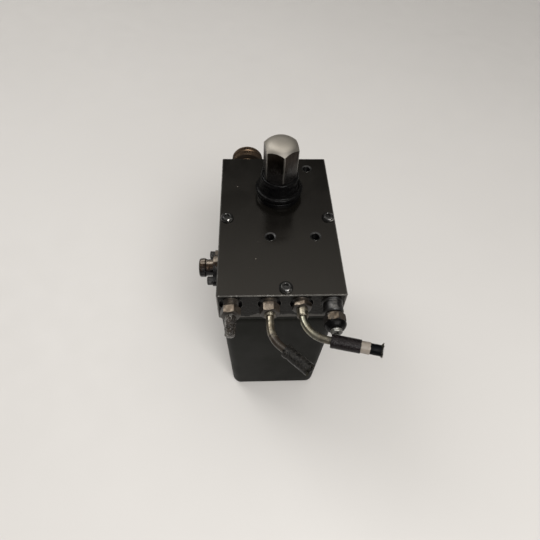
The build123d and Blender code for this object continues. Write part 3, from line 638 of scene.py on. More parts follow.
def hex_piece(across_flats, far, near, bore, origin, direction, turn=0.0, corner=0.35, soften=0.25,
        per_side=8, wave=None):
    """Six-sided body between two turned ends; far and near are (radius, height) profiles going outwards."""
    u, v = basis(direction)
    w = Vector(direction).normalized()
    flat = across_flats / 2
    ring = hexagon_outline(across_flats, corner, per_side, turn)
    sign = 1.0 if far[-1][1] > near[-1][1] else -1.0

    def column(p):
        rho = p.length
        d = p / rho
        result = [(d * r, h) for r, h in far if r < flat - 0.3]
        high, low = chamfer_height(far, rho), chamfer_height(near, rho)
        inner_high = chamfer_height(far, rho - soften)
        inner_low = chamfer_height(near, rho - soften)
        result.append((d * (rho - soften), inner_high))
        result.append((d * (rho - soften * 0.22), (high * 2 + inner_high) / 3 - sign * soften * 0.2))
        result.append((d * rho, high - sign * soften))
        for step in (0.25, 0.5, 0.75):
            result.append((d * rho, high + (low - high) * step))
        result.append((d * rho, low + sign * soften))
        result.append((d * (rho - soften * 0.22), (low * 2 + inner_low) / 3 + sign * soften * 0.2))
        result.append((d * (rho - soften), inner_low))
        result += [(d * r, h) for r, h in reversed(near) if r < flat - 0.3]
        return result

    columns = [column(p) for p in ring]
    points = []
    for one in columns:
        for flat_point, h in one:
            xy = flat_point * (1 + (wave(flat_point, h) if wave else 0.0))
            points.append(Vector(origin) + u * xy.x + v * xy.y + w * h)
    depth = len(columns[0])
    rows = [range(r, len(points), depth) for r in range(depth)]
    faces = skin(rows, bore, flip=True)
    if not bore:
        for row, h, flip in ((rows[0], far[0][1], False), (rows[-1], near[0][1], True)):
            faces += skin([row, [len(points)] * len(row)], False, flip)
            points.append(Vector(origin) + w * h)
    return points, faces


def bent_path(route, bend_radius, step=0.8):
    """Centre line of one bend: two straight runs and the arc between them."""
    a, b, c = (Vector(p) for p in route)
    u, v = (a - b).normalized(), (c - b).normalized()
    half = acos(max(-1.0, min(1.0, u.dot(v)))) / 2
    reach = bend_radius / tan(half)
    start, end = b + u * reach, b + v * reach
    hub = b + (u + v).normalized() * bend_radius / sin(half)
    result = [a.lerp(start, i / 12) for i in range(12)]
    sweep = pi - 2 * half
    arcs = max(6, int(bend_radius * sweep / step))
    turn_axis = (start - hub).cross(end - hub).normalized()
    for i in range(arcs + 1):
        result.append(hub + Matrix.Rotation(sweep * i / arcs, 3, turn_axis) @ (start - hub))
    result += [end.lerp(c, i / 12) for i in range(1, 13)]
    return result


def straight(start, end, count=24):
    a, b = Vector(start), Vector(end)
    return [a.lerp(b, i / count) for i in range(count + 1)]


def frames_along(path):
    """(point, two sideways directions, forward direction) along a path, turning as little as they can."""
    u, v = basis(path[1] - path[0])
    last = (path[1] - path[0]).normalized()
    frames = []
    for i, p in enumerate(path):
        forward = (path[min(i + 1, len(path) - 1)] - path[max(i - 1, 0)]).normalized()
        turn = last.rotation_difference(forward)
        u, v, last = turn @ u, turn @ v, forward
        frames.append((p, u, v, forward))
    return frames


def sweep_tube(path, outer, inner, segments=40, shape=None, ragged=None):
    """Hollow tube along a path; shape(t, angle) scales the outside, ragged(angle) moves the far end."""
    points, rows = [], []
    frames = frames_along(path)
    last = len(frames) - 1

    def outside(t, angle):
        return outer * (shape(t, angle) if shape else 1.0)

    def add_row(i, radius_at, slide=None):
        p, u, v, forward = frames[i]
        rows.append(range(len(points), len(points) + segments))
        for k in range(segments):
            angle = tau * k / segments
            push = forward * slide(angle) if slide else Vector()
            points.append(p + push + around(u, v, angle) * radius_at(angle))

    add_row(0, lambda angle: outside(0.0, angle) - 0.25)
    for i in range(last + 1):
        add_row(i, lambda angle: outside(i / last, angle), ragged if i == last else None)
    add_row(last, lambda angle: max(outside(1.0, angle) - 0.3, inner), ragged)
    for i in range(last, -1, -1):
        add_row(i, lambda angle: inner, ragged if i == last else None)
    return points, skin(rows)


def merge(*parts):
    """Joins several (points, faces) meshes into one."""
    points, faces = [], []
    for some_points, some_faces in parts:
        base = len(points)
        points += list(some_points)
        faces += [tuple(i + base for i in face) for face in some_faces]
    return points, faces


def ripple(seed, amount, scale=0.35):
    """Radius multiplier that wanders gently over a surface; scale is per millimetre."""
    def shape(angle, r, h):
        where = Vector((cos(angle) * r, sin(angle) * r, h)) * scale + Vector((seed, 0, 0))
        return r * (1 + amount * noise.noise(where))
    return shape


# ------------------------------------------------------------------ pieces
def make_tank():
    """Tapered tank: rounded box walls, eased rim, rounded floor edge and a slight hollow on each side."""
    def ring_at(z, inset, corner):
        narrow = 0.03 * (tank_high.z - z) + inset
        half_x = (tank_high.x - tank_low.x) / 2 - narrow
        half_y = (tank_high.y - tank_low.y) / 2 - narrow
        points = []
        for quarter, (sx, sy) in enumerate(((1, 1), (-1, 1), (-1, -1), (1, -1))):
            hub = Vector((sx * (half_x - corner), sy * (half_y - corner)))
            for step in range(9):
                a = radians(90 * quarter + 90 * step / 8)
                points.append(Vector((hub.x + corner * cos(a), hub.y + corner * sin(a), z)))
            ahead = [(-1, 0), (0, -1), (1, 0), (0, 1)][quarter]
            length = 2 * (half_x if ahead[0] else half_y) - 2 * corner
            start = points[-1].copy()
            for step in range(1, 12):
                t = step / 12
                dent = 0.35 * sin(pi * t) * sin(pi * min(max((z - 8) / 140, 0), 1))
                side = Vector((-ahead[1], ahead[0], 0)) * dent
                points.append(start + Vector((*ahead, 0)) * length * t + side)
        return points

    rim = ((0.0, 3.0, 6.0), (0.0, 0.6, 8.4), (0.5, 0.1, 8.9))
    rows = [ring_at(tank_high.z - down, inset, corner) for down, inset, corner in rim]
    rows += [ring_at(z, 0.0, 9.0) for z in (154, 153.2)]
    rows += [ring_at(152.8, 0.25, 8.8), ring_at(152.0, 0.25, 8.8), ring_at(151.6, 0.0, 9.0)]
    rows += [ring_at(z, 0.0, 9.0) for z in (146, 132, 118, 104, 90, 76, 62, 48, 34, 20, 12, 6.5)]
    for step in range(1, 8):
        a = radians(90 * step / 7)
        rows.append(ring_at(6.0 * (1 - sin(a)), 6.0 * (1 - cos(a)), 9.0 - 6.0 * (1 - cos(a)) * 0.9))
    inner = [ring_at(3.0, 3.5, 5.5), ring_at(tank_high.z - 0.1, 3.0, 6.0)]
    count = len(rows[0])
    points = [p for row in rows + inner for p in row]
    rings = [range(i * count, (i + 1) * count) for i in range(len(rows) + 2)]
    underside, inner_floor, inner_rim = rings[-3:]
    faces = skin(rings[:-2], closed=False, flip=True) + skin([inner_floor, inner_rim, rings[0]], closed=False)
    faces += [tuple(underside)[::-1], tuple(inner_floor)]
    add_piece("tank_shell", (points, faces), "tank_plastic", "tank", 40.0)


def make_cover_screws():
    """Pan heads with a hexagon socket; the shanks go down through the block."""
    places = ((-43.5, 0.0), (44.0, 0.0), (3.0, -73.0), (3.0, 73.0))
    for index, (x, y) in enumerate(places):
        dome = [(2.5, top + 1.4), (2.5, top + 3.15), (2.9, top + 3.3), (3.6, top + 3.2), (4.5, top + 2.6),
            (5.2, top + 1.7), (5.5, top + 0.8), (5.5, top + 0.02), (3.0, top + 0.02), (3.0, 145.2),
            (0, 145.2), (0, top + 1.4)]
        body = lathe(eased(dome, 0.2), (x, y, 0), (0, 0, 1), 48, ripple(index * 7.0, 0.012, 0.6))
        hollow = hex_socket(2.52, 2.0, top + 1.42, top + 3.16, (x, y, 0), index * 0.7)
        add_piece(f"cover_screw_{index + 1}", merge(body, hollow), "black_screw",
            on_first(index, "cover_screws"))


def hex_socket(outer, inner_flat, low, high, origin, turn):
    """Six-sided liner of a socket: round outside, hexagonal inside."""
    count = 36
    points = []
    for k in range(count):
        a = tau * k / count
        local = (a + turn) % radians(60) - radians(30)
        inner = inner_flat / cos(local)
        for r, h in ((outer, low), (outer, high), (inner, high), (inner, low)):
            points.append(Vector(origin) + Vector((r * cos(a), r * sin(a), h)))
    return points, skin([range(i, 4 * count, 4) for i in range(4)])


def hole_mouth_material():
    """Painted highlight: bright metal on the rear side of each countersink, the side that faces the front;
    black elsewhere.
    """
    s = Shader("hole_mouth_metal")
    fine = s.noise(900.0, 5.0)
    lit_rim = s.plus(s.facing(0.25, -1.0, 0.0), s.swing(fine, 0.25))
    lit_rim = s.span(lit_rim, 0.28, 0.48)
    colour = s.mix(lit_rim, (0.004, 0.0038, 0.0036), s.mix(fine, (0.24, 0.235, 0.22), (0.40, 0.39, 0.37)))
    return s.done(colour, s.span(fine, 0.3, 0.7, 0.22, 0.4), s.times(lit_rim, 0.9), s.bump(fine, 0.0001, 0.4))


def make_hole_threads():
    """Thread ridges inside the four tapped holes of the top face."""
    pitch, per_turn, turns = 1.25, 40, 13
    # This material paints a highlight on the rear side of each countersink.
    plated = hole_mouth_material()
    pattern = next(mount for mount in frame["record"]["mounts"] if mount["name"] == "mounting_holes")
    middle_x, middle_y = pattern["pos_m"][0] / MM, pattern["pos_m"][1] / MM
    half_x, half_y = pattern["dims"]["spacing_x_mm"] / 2, pattern["dims"]["spacing_y_mm"] / 2
    for index, (sx, sy) in enumerate(((-1, -1), (1, -1), (1, 1), (-1, 1))):
        x, y = middle_x + sx * half_x, middle_y + sy * half_y
        points = []
        for k in range(per_turn * turns + 1):
            a = tau * k / per_turn
            z = top - 1.2 - pitch * k / per_turn
            for r, dz in ((3.39, 0.5), (3.02, 0.0), (3.39, -0.5)):
                points.append(Vector((x + r * cos(a), y + r * sin(a), z + dz)))
        rows = [range(i, i + 3) for i in range(0, len(points), 3)]
        faces = skin(rows, closed=False) + [tuple(rows[0])[::-1], tuple(rows[-1])]
        add_piece(f"hole_thread_{index + 1}", (points, faces), "machined_aluminium", (), 32.0,
            materials["rubber_black"])
        cone = [(3.42, top - 0.42), (4.72, top + 0.03), (4.98, top + 0.03), (5.0, top + 0.01),
            (4.75, top - 0.02), (3.45, top - 0.44)]
        add_piece(f"hole_mouth_{index + 1}", lathe(cone, (x, y, 0), (0, 0, 1), 56), "machined_aluminium",
            (), 30.0, plated)


def make_spindle():
    """Hexagon with turned end, and its neck and shaft below."""
    far = [(0.01, 247.05), (3.0, 247.0), (6.0, 246.75), (8.0, 246.3), (9.6, 245.75), (11.2, 244.95),
        (12.2, 244.3), (13.4, 243.3), (14.4, 242.4), (15.7, 241.2)]
    near = [(0.01, 213.3), (14.2, 213.4), (15.7, 215.0)]
    turn = radians(7.0)      # the front corner leans this far to the right
    head = hex_piece(27.0, far, near, False, *spindle_axis, turn, 0.7, 0.35, 12)
    shaft = lathe([(0, 150.7), (8.0, 150.7), (8.0, 157.0), (10.0, 157.0), (10.0, 197.35), (14.3, 197.35),
                   (14.3, 213.35), (0, 213.35)], *spindle_axis, 64)
    add_piece("spindle_hexagon", merge(head, shaft), "bright_steel", "drive_spindle", 24.0, body="spindle")


def make_boot_and_gland():
    """Greasy rubber boot round the hexagon's foot, and the stepped ring it sits over."""
    boot = [(17.7, 196.9), (20.9, 196.9), (21.15, 198.2), (20.3, 199.6), (18.9, 200.1), (18.3, 201.4),
        (17.9, 204.0), (17.2, 207.5), (16.9, 210.0), (16.6, 211.6), (15.9, 212.7), (14.36, 213.2),
        (14.36, 198.1), (17.7, 198.1)]
    add_piece("boot", lathe(eased(boot, 0.7, 5), *spindle_axis, 144, ripple(3.0, 0.016, 0.28)),
        "rubber_black", "dust_boot", 50.0, body="spindle")
    gland = [(10.5, 187.1), (14.9, 187.1), (14.9, top + 0.01), (19.9, top + 0.01), (20.0, 193.4),
        (19.4, 194.2), (17.1, 194.3), (16.9, 196.6), (16.4, 197.1), (10.5, 197.1)]
    add_piece("gland_ring", lathe(eased(gland, 0.35, 4), *spindle_axis, 144, ripple(9.0, 0.004, 0.3)),
        "black_block", "gland_flange", 40.0, materials["rubber_black"])


def make_filler():
    """Knurled brown cap on a short threaded neck."""
    near, far = low_of("filler_cap").y, high_of("filler_cap").y
    head, grip = near + 8.3, 15.45

    def knurl(angle, r, h):
        band = head + 7.2 < h < far - 1.5 or head + 1.0 < h < head + 4.8
        ridge = abs(sin(angle * 30)) ** 1.5 * 0.45 if band and r > 15.0 else 0.0
        return r - ridge

    cap = [(0, near), (6.6, near), (7.4, near + 0.8), (7.4, head), (14.4, head), (15.2, head + 0.5),
        (grip, head + 1.1), (grip, head + 4.7), (14.7, head + 5.2), (14.6, head + 6.2), (15.3, head + 6.9)]
    cap += [(grip, head + 7.3 + 0.5 * i) for i in range(8)]
    cap += [(15.3, far - 1.0), (14.3, far - 0.2), (13.2, far), (11.5, far - 0.1), (10.9, far - 0.9),
        (0, far - 1.0)]
    add_piece("filler_cap_knurled", lathe(cap, *filler_axis, 360, knurl), "bronze_brown", "filler_cap",
        28.0, body="cap")
    neck = [(7.5, 70.1), (8.95, 70.1), (8.95, 80.0), (11.9, 80.0), (12.0, 80.6), (12.0, 82.0), (11.2, 82.6)]
    for turn in range(3):
        z = 82.8 + turn * 1.5
        neck += [(11.2, z), (11.95, z + 0.5), (11.95, z + 0.8), (11.2, z + 1.3)]
    neck += [(11.2, 87.6), (11.0, 88.3), (7.5, 88.3)]
    add_piece("filler_neck_threaded", lathe(eased(neck, 0.15, 2), *filler_axis, 96), "bronze_brown",
        "filler_neck", 30.0)


def connector_material():
    """Brown bronze under dirt, with a painted highlight on its upward faces and the front ear of the flange
    in glossy black.
    """
    s = Shader("connector_bronze", IOR=1.3)
    cloud = s.span(s.noise(330.0, 6.0, 0.7, distortion=0.6), 0.40, 0.62)
    worn = s.span(s.noise(560.0, 5.0, 0.7), 0.52, 0.66)
    # Painted highlight: faces that point up are lightened towards a pale metal colour.
    up = s.span(s.facing(0.0, 0.12, 1.0), 0.93, 0.99)
    colour = s.mix(cloud, (0.030, 0.019, 0.012), (0.009, 0.006, 0.0045))
    colour = s.mix(s.times(worn, 0.5), colour, (0.10, 0.072, 0.052))
    colour = s.mix(s.times(up, 0.8), colour, (0.42, 0.36, 0.30))
    ragged = s.swing(s.noise(260.0), 0.006)
    front_ear = s.span(s.plus(s.axis(1), ragged), (plug.y - 6.5) * MM, (plug.y - 3.5) * MM, 1.0, 0.0)
    colour = s.mix(front_ear, colour, (0.003, 0.0027, 0.003))
    rough = s.blend_number(front_ear, s.span(cloud, 0.0, 1.0, 0.30, 0.5), 0.2)
    return s.done(colour, rough, s.span(front_ear, 0.0, 1.0, 0.85, 0.0), s.bump(cloud, 0.0003, 0.5))


def make_connector():
    """Round locking ring with shallow grip flutes, on the slanted two-screw flange."""
    x0, x1 = low_of("connector_ring").x, high_of("connector_ring").x

    def grip(angle, r, h):
        groove = max(0.0, sin(angle * 9)) ** 3 * 0.32 if r > 7.4 and x0 + 1.2 < h < x1 - 0.8 else 0.0
        return r - groove

    screw_places = ((plug.y - 15.6, plug.z + 3.2), (plug.y + 17.6, plug.z - 5.8))
    finish = connector_material()
    nodes["connector_flange"].data.materials[0] = finish
    ring = [(5.95, x0 + 1.3), (5.95, x1), (7.3, x1), (7.8, x1 - 0.6)]
    ring += [(7.8, x1 - 0.9 - 0.6 * i) for i in range(6)]
    ring += [(7.7, x0 + 1.1), (7.0, x0 + 0.15), (6.4, x0), (5.4, x0), (4.95, x0 + 0.4), (4.95, x0 + 1.3)]
    add_piece("plug_locking_ring", lathe(ring, (0, plug.y, plug.z), (1, 0, 0), 144, grip), "bronze_brown",
        "connector_ring", 30.0, finish, body="plug_ring")
    head = [(1.75, -56.4), (1.75, -58.2), (2.0, -58.5), (3.1, -58.5), (3.5, -58.1), (3.5, -57.2),
        (3.5, -56.2), (3.5, -55.1), (3.5, -54.02), (2.0, -54.02), (2.0, -40.2), (0, -40.2), (0, -56.4)]

    def grip_head(angle, r, h):
        fine = 0.12 * abs(sin(angle * 18)) if r > 3.4 and h < -55.0 else 0.0
        return r - fine

    for index, (y, z) in enumerate(screw_places):
        add_piece(f"connector_screw_{index + 1}", lathe(head, (0, y, z), (1, 0, 0), 108, grip_head),
            "black_screw", on_first(index, "connector_screws"), 30.0)


def make_union_nuts():
    """Hollow hexagon screws of ports 1 to 3, each with a turned chamfer and a washer face."""
    places = ((port_1_x, -84.0, -91.2, -9.0), (port_2_x, -81.6, -89.8, -9.0), (port_3_x, -81.0, -85.6, 39.0))
    for index, (x, near, far, turn) in enumerate(places):
        far_profile = [(4.56, far), (6.3, far), (7.0, far + 0.25), (8.3, far + 1.0)]
        near_profile = [(4.56, near), (6.6, near), (7.1, near - 0.2), (8.3, near - 0.9)]
        wave = nut_wear(index)
        head = hex_piece(14.0, far_profile, near_profile, True, *port_axis(x), radians(turn),
            0.45, 0.25, 8, wave)
        shank = lathe(thread_outline(5.94, near + 0.02, -69.0, 4.56), *port_axis(x), 64)
        add_piece(f"union_nut_{index + 1}", merge(head, shank), "zinc_brown", on_first(index, "union_nuts"),
            26.0)


def nut_wear(seed):
    """Slight unevenness of a nut's flats."""
    def wave(p, h):
        return 0.012 * noise.noise(Vector((p.x * 0.4, p.y * 0.4, h * 0.5 + seed * 11)))
    return wave


def thread_outline(radius, start, end, bore, pitch=1.5):
    """Outline of a threaded shank with its bore."""
    outline = [(bore, start), (radius - 0.9, start)]
    h = start + 0.8
    while h < end - pitch:
        outline += [(radius - 0.75, h), (radius, h + pitch * 0.4), (radius, h + pitch * 0.5),
            (radius - 0.75, h + pitch * 0.9)]
        h += pitch
    return outline + [(radius - 0.8, end), (bore, end)]


def make_tube_sleeves():
    """Coned sleeve that seals tubes 2 and 3 in their ports, with a groove near its outer end."""
    for index, (x, far) in enumerate(((port_2_x, -91.8), (port_3_x, -92.3))):
        outline = [(3.05, -65.0), (4.6, -65.0), (5.5, -66.5), (5.5, -68.8), (4.5, -68.9), (4.45, far + 1.1),
            (4.25, far + 0.95), (4.25, far + 0.7), (4.45, far + 0.55), (4.3, far + 0.02),
            (3.05, far + 0.02)]
        sleeve = lathe(eased(outline, 0.12), *port_axis(x), 64, ripple(index * 5.0, 0.01, 0.5))
        add_piece(f"tube_sleeve_{index + 1}", sleeve, "zinc_steel", on_first(index, "tube_sleeves"), 34.0,
            materials["zinc_yellow"])


bend_2, end_2 = Vector((port_2_x, -109.6, port_z)), Vector((17.6, -136.6, port_z + 2.4))
bend_3, end_3 = Vector((port_3_x, -107.9, port_z)), Vector((70.5, -124.1, port_z + 5.0))
tube_inner_end = -64.8
tube_radius, tube_bore, hose_bore = 2.97, 2.0, 3.06


def on_run(bend, end, distance):
    """Point on a tube's outer run, measured from its bend."""
    return bend + (end - bend).normalized() * distance


def flattened(amount, start, end, seed):
    """Tube section that is pressed a little oval through its bend."""
    def shape(t, angle):
        inside = sin(pi * min(max((t - start) / (end - start), 0), 1))
        oval = amount * inside * cos(2 * angle)
        return 1 + oval + 0.006 * noise.noise(Vector((t * 14 + seed, cos(angle), sin(angle))))
    return shape


def make_tubes():
    """Two plated tubes, each with one bend, that end inside their torn hoses."""
    path = bent_path(((port_2_x, tube_inner_end, port_z), bend_2, on_run(bend_2, end_2, 27.5)), 24.0)
    finish = tube_material("tube_2_finish", 0.9, 0.8, (0.36, 0.33, 0.26), -98.0, -112.0, 0.93)
    tube = sweep_tube(path, tube_radius, tube_bore, 40, flattened(0.06, 0.3, 0.8, 1.0))
    add_piece("tube_2", tube, "zinc_yellow", "port_tube_2", 50.0, finish)
    path = bent_path(((port_3_x, tube_inner_end, port_z), bend_3, on_run(bend_3, end_3, 36.5)), 22.0)
    finish = tube_material("tube_3_finish", 0.7, 0.5, (0.30, 0.30, 0.24), -99.0, -118.0, 0.85)
    tube = sweep_tube(path, tube_radius, tube_bore, 40, flattened(0.025, 0.3, 0.75, 4.0))
    add_piece("tube_3", tube, "zinc_yellow", "port_tube_3", 50.0, finish)


def tube_material(name, stain_amount, dirt_amount, bright, soot_from, soot_to, soot_amount):
    """Yellowish plated tube that turns sooty along its bend, from soot_from to soot_to along Y."""
    s = Shader(name)
    fine = s.noise(560.0, 4.0)
    patches = s.span(s.noise(95.0, 6.0, 0.65, distortion=0.4), 0.40, 0.64)
    spots = s.times(s.span(s.noise(170.0, 6.0, 0.7), 0.52, 0.66), dirt_amount)
    ragged = s.swing(s.noise(210.0, 5.0, 0.6), 0.03)
    soot = s.span(s.plus(s.axis(1), ragged), soot_to * MM, soot_from * MM, soot_amount, 0.0)
    spots = s.calc("MAXIMUM", spots, soot)
    colour = s.mix(s.times(fine, 0.25), bright, (0.25, 0.205, 0.14))
    colour = s.mix(s.times(patches, stain_amount), colour, (0.25, 0.205, 0.14))
    colour = s.mix(spots, colour, (0.016, 0.011, 0.009))
    normal = s.bump(spots, 0.0002, 0.5, s.bump(fine, 0.00006, 0.5))
    return s.done(colour, s.span(spots, 0.0, 1.0, 0.31, 0.26), s.span(spots, 0.0, 1.0, 1.0, 0.35), normal)


def ragged_end(seed, depth):
    """How far a torn end reaches past its path, or falls short of it, round the hose."""
    def slide(angle):
        where = Vector((cos(angle) * 1.7 + seed, sin(angle) * 1.7, seed))
        return depth * (noise.noise(where) + 0.6 * noise.noise(where * 3.1)) - depth * 0.5
    return slide


def make_hose_2():
    """Scuffed hose pushed over tube 2, with a swollen collar, torn off at its end."""
    def lumps(t, angle):
        lip = 0.07 * exp(-((t - 0.06) / 0.06) ** 2) - 0.05 * exp(-((t - 0.2) / 0.05) ** 2)
        where = Vector((t * 6, cos(angle) * 1.3, sin(angle) * 1.3))
        return min(1.02, 0.945 + lip + 0.05 * noise.noise(where) + 0.025 * noise.noise(where * 3.3))

    run = (end_2 - bend_2).length
    path = straight(on_run(bend_2, end_2, 14.7), on_run(bend_2, end_2, run - 0.9), 52)
    add_piece("hose_2", sweep_tube(path, 5.0, hose_bore, 56, lumps, ragged_end(2.0, 1.6)), "hose_rubber",
        "hose_stub_2", 60.0)
    make_fibres("frayed_fibres_2", on_run(bend_2, end_2, run - 2.8), (end_2 - bend_2).normalized(),
        radius=4.2, count=90, length=2.7, seed=22, flare=1.5)


def make_hose_3():
    """Dark sleeve, white layer and black hose core on tube 3, with a frayed cut end."""
    def sleeve_shape(t, angle):
        step = 0.012 * exp(-((t - 0.08) / 0.06) ** 2)
        where = Vector((t * 9, cos(angle), sin(angle)))
        rough = 0.03 * noise.noise(where * 2.6) * exp(-(t / 0.16) ** 2)
        return min(1.0, 0.975 + step + rough - 0.02 * t + 0.006 * cos(angle * 3 + 5 * t))

    sleeve = straight(on_run(bend_3, end_3, 19.5), on_run(bend_3, end_3, 41.0), 36)
    add_piece("sleeve_3", sweep_tube(sleeve, 5.38, 4.53, 56, sleeve_shape, ragged_end(5.0, 0.3)),
        "hose_sleeve", "hose_sleeve_3", 60.0)
    band = straight(on_run(bend_3, end_3, 20.5), on_run(bend_3, end_3, 47.7), 20)
    add_piece("white_layer_3", sweep_tube(band, 4.49, 4.23, 56, None, ragged_end(8.0, 0.4)), "white_band",
        "hose_liner_3", 60.0)

    def core_shape(t, angle):
        return 0.965 + 0.035 * noise.noise(Vector((t * 12, cos(angle) * 1.5, sin(angle) * 1.5)))

    run = (end_3 - bend_3).length
    core = straight(on_run(bend_3, end_3, 21.3), on_run(bend_3, end_3, run - 0.8), 50)
    finish = greasy_rubber_material(
        "core_3_finish", (0.0006, 0.0008, 0.0013), (0.0014, 0.0017, 0.0024), 0.3, 0.5)
    add_piece("hose_core_3_cut", sweep_tube(core, 4.19, hose_bore, 56, core_shape, ragged_end(11.0, 1.2)),
        "hose_rubber", "hose_core_3", 60.0, finish)
    make_fibres("frayed_fibres_3", on_run(bend_3, end_3, run - 2.6), (end_3 - bend_3).normalized(),
        radius=3.9, count=170, length=2.4, seed=21, flare=2.3)


def make_fibres(name, centre, direction, radius, count, length, seed, flare):
    """Short bent threads round a cut hose end, opening outwards by flare."""
    pick = random.Random(seed)
    u, v = basis(direction)
    parts = []
    for _ in range(count):
        angle = pick.uniform(0, tau)
        out = around(u, v, angle)
        start = centre + out * (radius - pick.uniform(0.0, 0.9))
        reach = length * pick.uniform(0.35, 1.0)
        spread = out * flare * pick.uniform(0.0, 1.0) ** 2
        elbow = start + direction * reach * 0.55 + spread * 0.4
        tip = start + direction * reach * 0.9 + spread + u * pick.uniform(-0.5, 0.5)
        path = [start.lerp(elbow, t).lerp(elbow.lerp(tip, t), t) for t in (0, 0.25, 0.5, 0.75, 1.0)]
        parts.append(thread_of(path, pick.uniform(0.12, 0.26)))
    add_piece(name, merge(*parts), "hose_rubber", (), 60.0, materials["frayed_fibres"])


def thread_of(path, radius, taper=0.6, sides=6):
    """Solid thread along a path, thinner by taper at its far end.

    A tapered thread is short, so it keeps its first two sideways directions all along.
    """
    points = []
    for i, (p, *sideways, _) in enumerate(frames_along(path)):
        u, v = basis(path[1] - path[0]) if taper else sideways
        r = radius * (1 - taper * i / (len(path) - 1))
        points += [p + around(u, v, tau * k / sides) * r for k in range(sides)]
    rows = [range(i * sides, (i + 1) * sides) for i in range(len(path))]
    return points, skin(rows, closed=False) + [tuple(rows[0])[::-1], tuple(rows[-1])]


def make_springs():
    """Coil springs of the inner valves, each wound to fill its spring's box and given a mesh of its own."""
    for name, joint, travel, fixed_at_top, wire, turns in (
            ("delivery_spring", "delivery_ball_lift", 1.2, True, 0.35, 5),
            ("relief_spring", "relief_poppet_lift", 1.5, False, 0.45, 5),
            ("spool_spring", "spool_shift", 2.5, False, 0.45, 4)):
        low, high = low_of(name), high_of(name)
        centre, height = (low + high) / 2, high.z - low.z
        radius, steps = (high.x - low.x) / 2 - wire, turns * 36
        path = [Vector((centre.x + radius * cos(pi * k / 18), centre.y + radius * sin(pi * k / 18),
                        low.z + wire + (height - 2 * wire) * k / steps)) for k in range(steps + 1)]
        coil = add_piece(f"{name}_coil", thread_of(path, wire, 0.0, 12), "spring_steel", name, 50.0)
        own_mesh(coil)


def make_port_1():
    """Plugged stub with a crumpled, see-through plastic cap."""
    stub = [(1.8, -65.0), (4.6, -65.0), (5.5, -66.5), (5.5, -68.8), (4.5, -68.9), (4.5, -91.2), (3.3, -91.35),
            (2.95, -91.8), (2.95, -101.1), (2.6, -101.4), (1.8, -101.4)]
    add_piece("port_1_stub", lathe(eased(stub, 0.2), *port_axis(port_1_x), 48), "zinc_steel", "port_stub_1",
        34.0)

    def crumple(angle, r, h):
        where = Vector((cos(angle) * 1.4, sin(angle) * 1.4, h * 0.28))
        fold = 0.10 * noise.noise(where) + 0.05 * noise.noise(where * 2.7)
        return r * (1 + fold * (1.0 if h < -93.0 else 0.2)) - (0.25 if r > 3.9 else -0.1)

    outside = [(3.2, -91.8), (4.5, -91.8), (4.8, -92.6)]
    outside += [(4.78 - 0.05 * i, -93.4 - i) for i in range(12)]
    outside += [(4.1, -105.6), (3.7, -106.8), (2.6, -107.7), (1.2, -108.0), (0, -108.05)]
    inside = [(0, -107.1), (1.9, -106.7), (2.9, -105.6), (3.3, -104.4)]
    inside += [(3.4, -103.0 + i) for i in range(10)]
    add_piece("clear_cap_1", lathe(outside + inside, *port_axis(port_1_x), 72, crumple), "clear_cap",
        "dust_cap_1", 60.0)


def make_port_4():
    """Round adapter, hexagon nut, domed black seal and ringed pipe end of the fourth port."""
    axis = port_axis(port_4_x)
    shank = thread_outline(5.94, -80.2, -66.0, 2.0)
    waist = [(5.2, -77.05), (8.4, -77.05), (8.65, -77.4), (8.65, -80.2), (8.2, -80.7), (7.6, -81.2),
        (7.5, -82.2), (7.75, -82.8), (7.75, -88.9), (7.4, -89.6), (6.8, -90.3), (5.2, -90.3)]
    spigot = [(2.0, -90.0), (4.95, -90.0), (4.95, -95.9), (2.0, -95.9)]
    parts = (lathe(eased(shank, 0.1), *axis, 72),
             lathe(eased(waist, 0.2), *axis, 96, ripple(2.0, 0.012, 0.4)),
             lathe(spigot, *axis, 48))
    add_piece("port_4_adapter", merge(*parts), "zinc_steel", "fitting_4_adapter", 34.0,
        materials["port_4_adapter_finish"])
    far = [(3.8, -98.58), (6.9, -98.58), (7.5, -98.3), (8.7, -97.5)]
    near = [(5.08, -91.42), (6.9, -91.42), (7.5, -91.7), (8.7, -92.4)]
    nut = hex_piece(15.0, far, near, True, *axis, radians(-18.0), 0.7, 0.35, 8, nut_wear(9))
    add_piece("port_4_nut", nut, "zinc_brown", "fitting_4_nut", 26.0, materials["port_4_nut_finish"])
    cap = [(3.8, -98.62), (8.1, -98.62), (8.5, -99.3), (8.3, -100.6), (7.3, -102.4), (6.0, -103.75),
        (3.8, -103.75)]
    add_piece("port_4_cap", lathe(eased(cap, 0.5, 5), *axis, 96, ripple(6.0, 0.01, 0.3)), "rubber_black",
        "fitting_4_cap", 50.0)
    tube = [(2.0, -96.15), (3.65, -96.15), (3.65, -103.85), (4.5, -103.95), (4.55, -104.6), (4.05, -105.0),
            (4.05, -105.3), (4.45, -105.7), (4.45, -106.1), (4.05, -106.55), (2.0, -106.55)]
    add_piece("port_4_tube", lathe(eased(tube, 0.15, 3), *axis, 56, ripple(8.0, 0.01, 0.4)), "zinc_steel",
        "fitting_4_tube", 34.0)


def make_recess_shade():
    """Black rings in the four spot-faced recesses of the front face: painted shade, where the recess floors
    lie in shadow.
    """
    bores = ((port_1_x, 6.2), (port_2_x, 6.2), (port_3_x, 6.2), (port_4_x, 8.8))
    for index, (x, bore) in enumerate(bores):
        # Painted shade: a black ring where each recess floor lies in shadow.
        shade_ring = [(bore, -77.05), (9.1, -77.05), (9.15, -79.95), (9.0, -79.9), (8.95, -77.3), (bore, -77.2)]
        add_piece(f"recess_shade_{index + 1}", lathe(shade_ring, *port_axis(x), 72), "rubber_black")


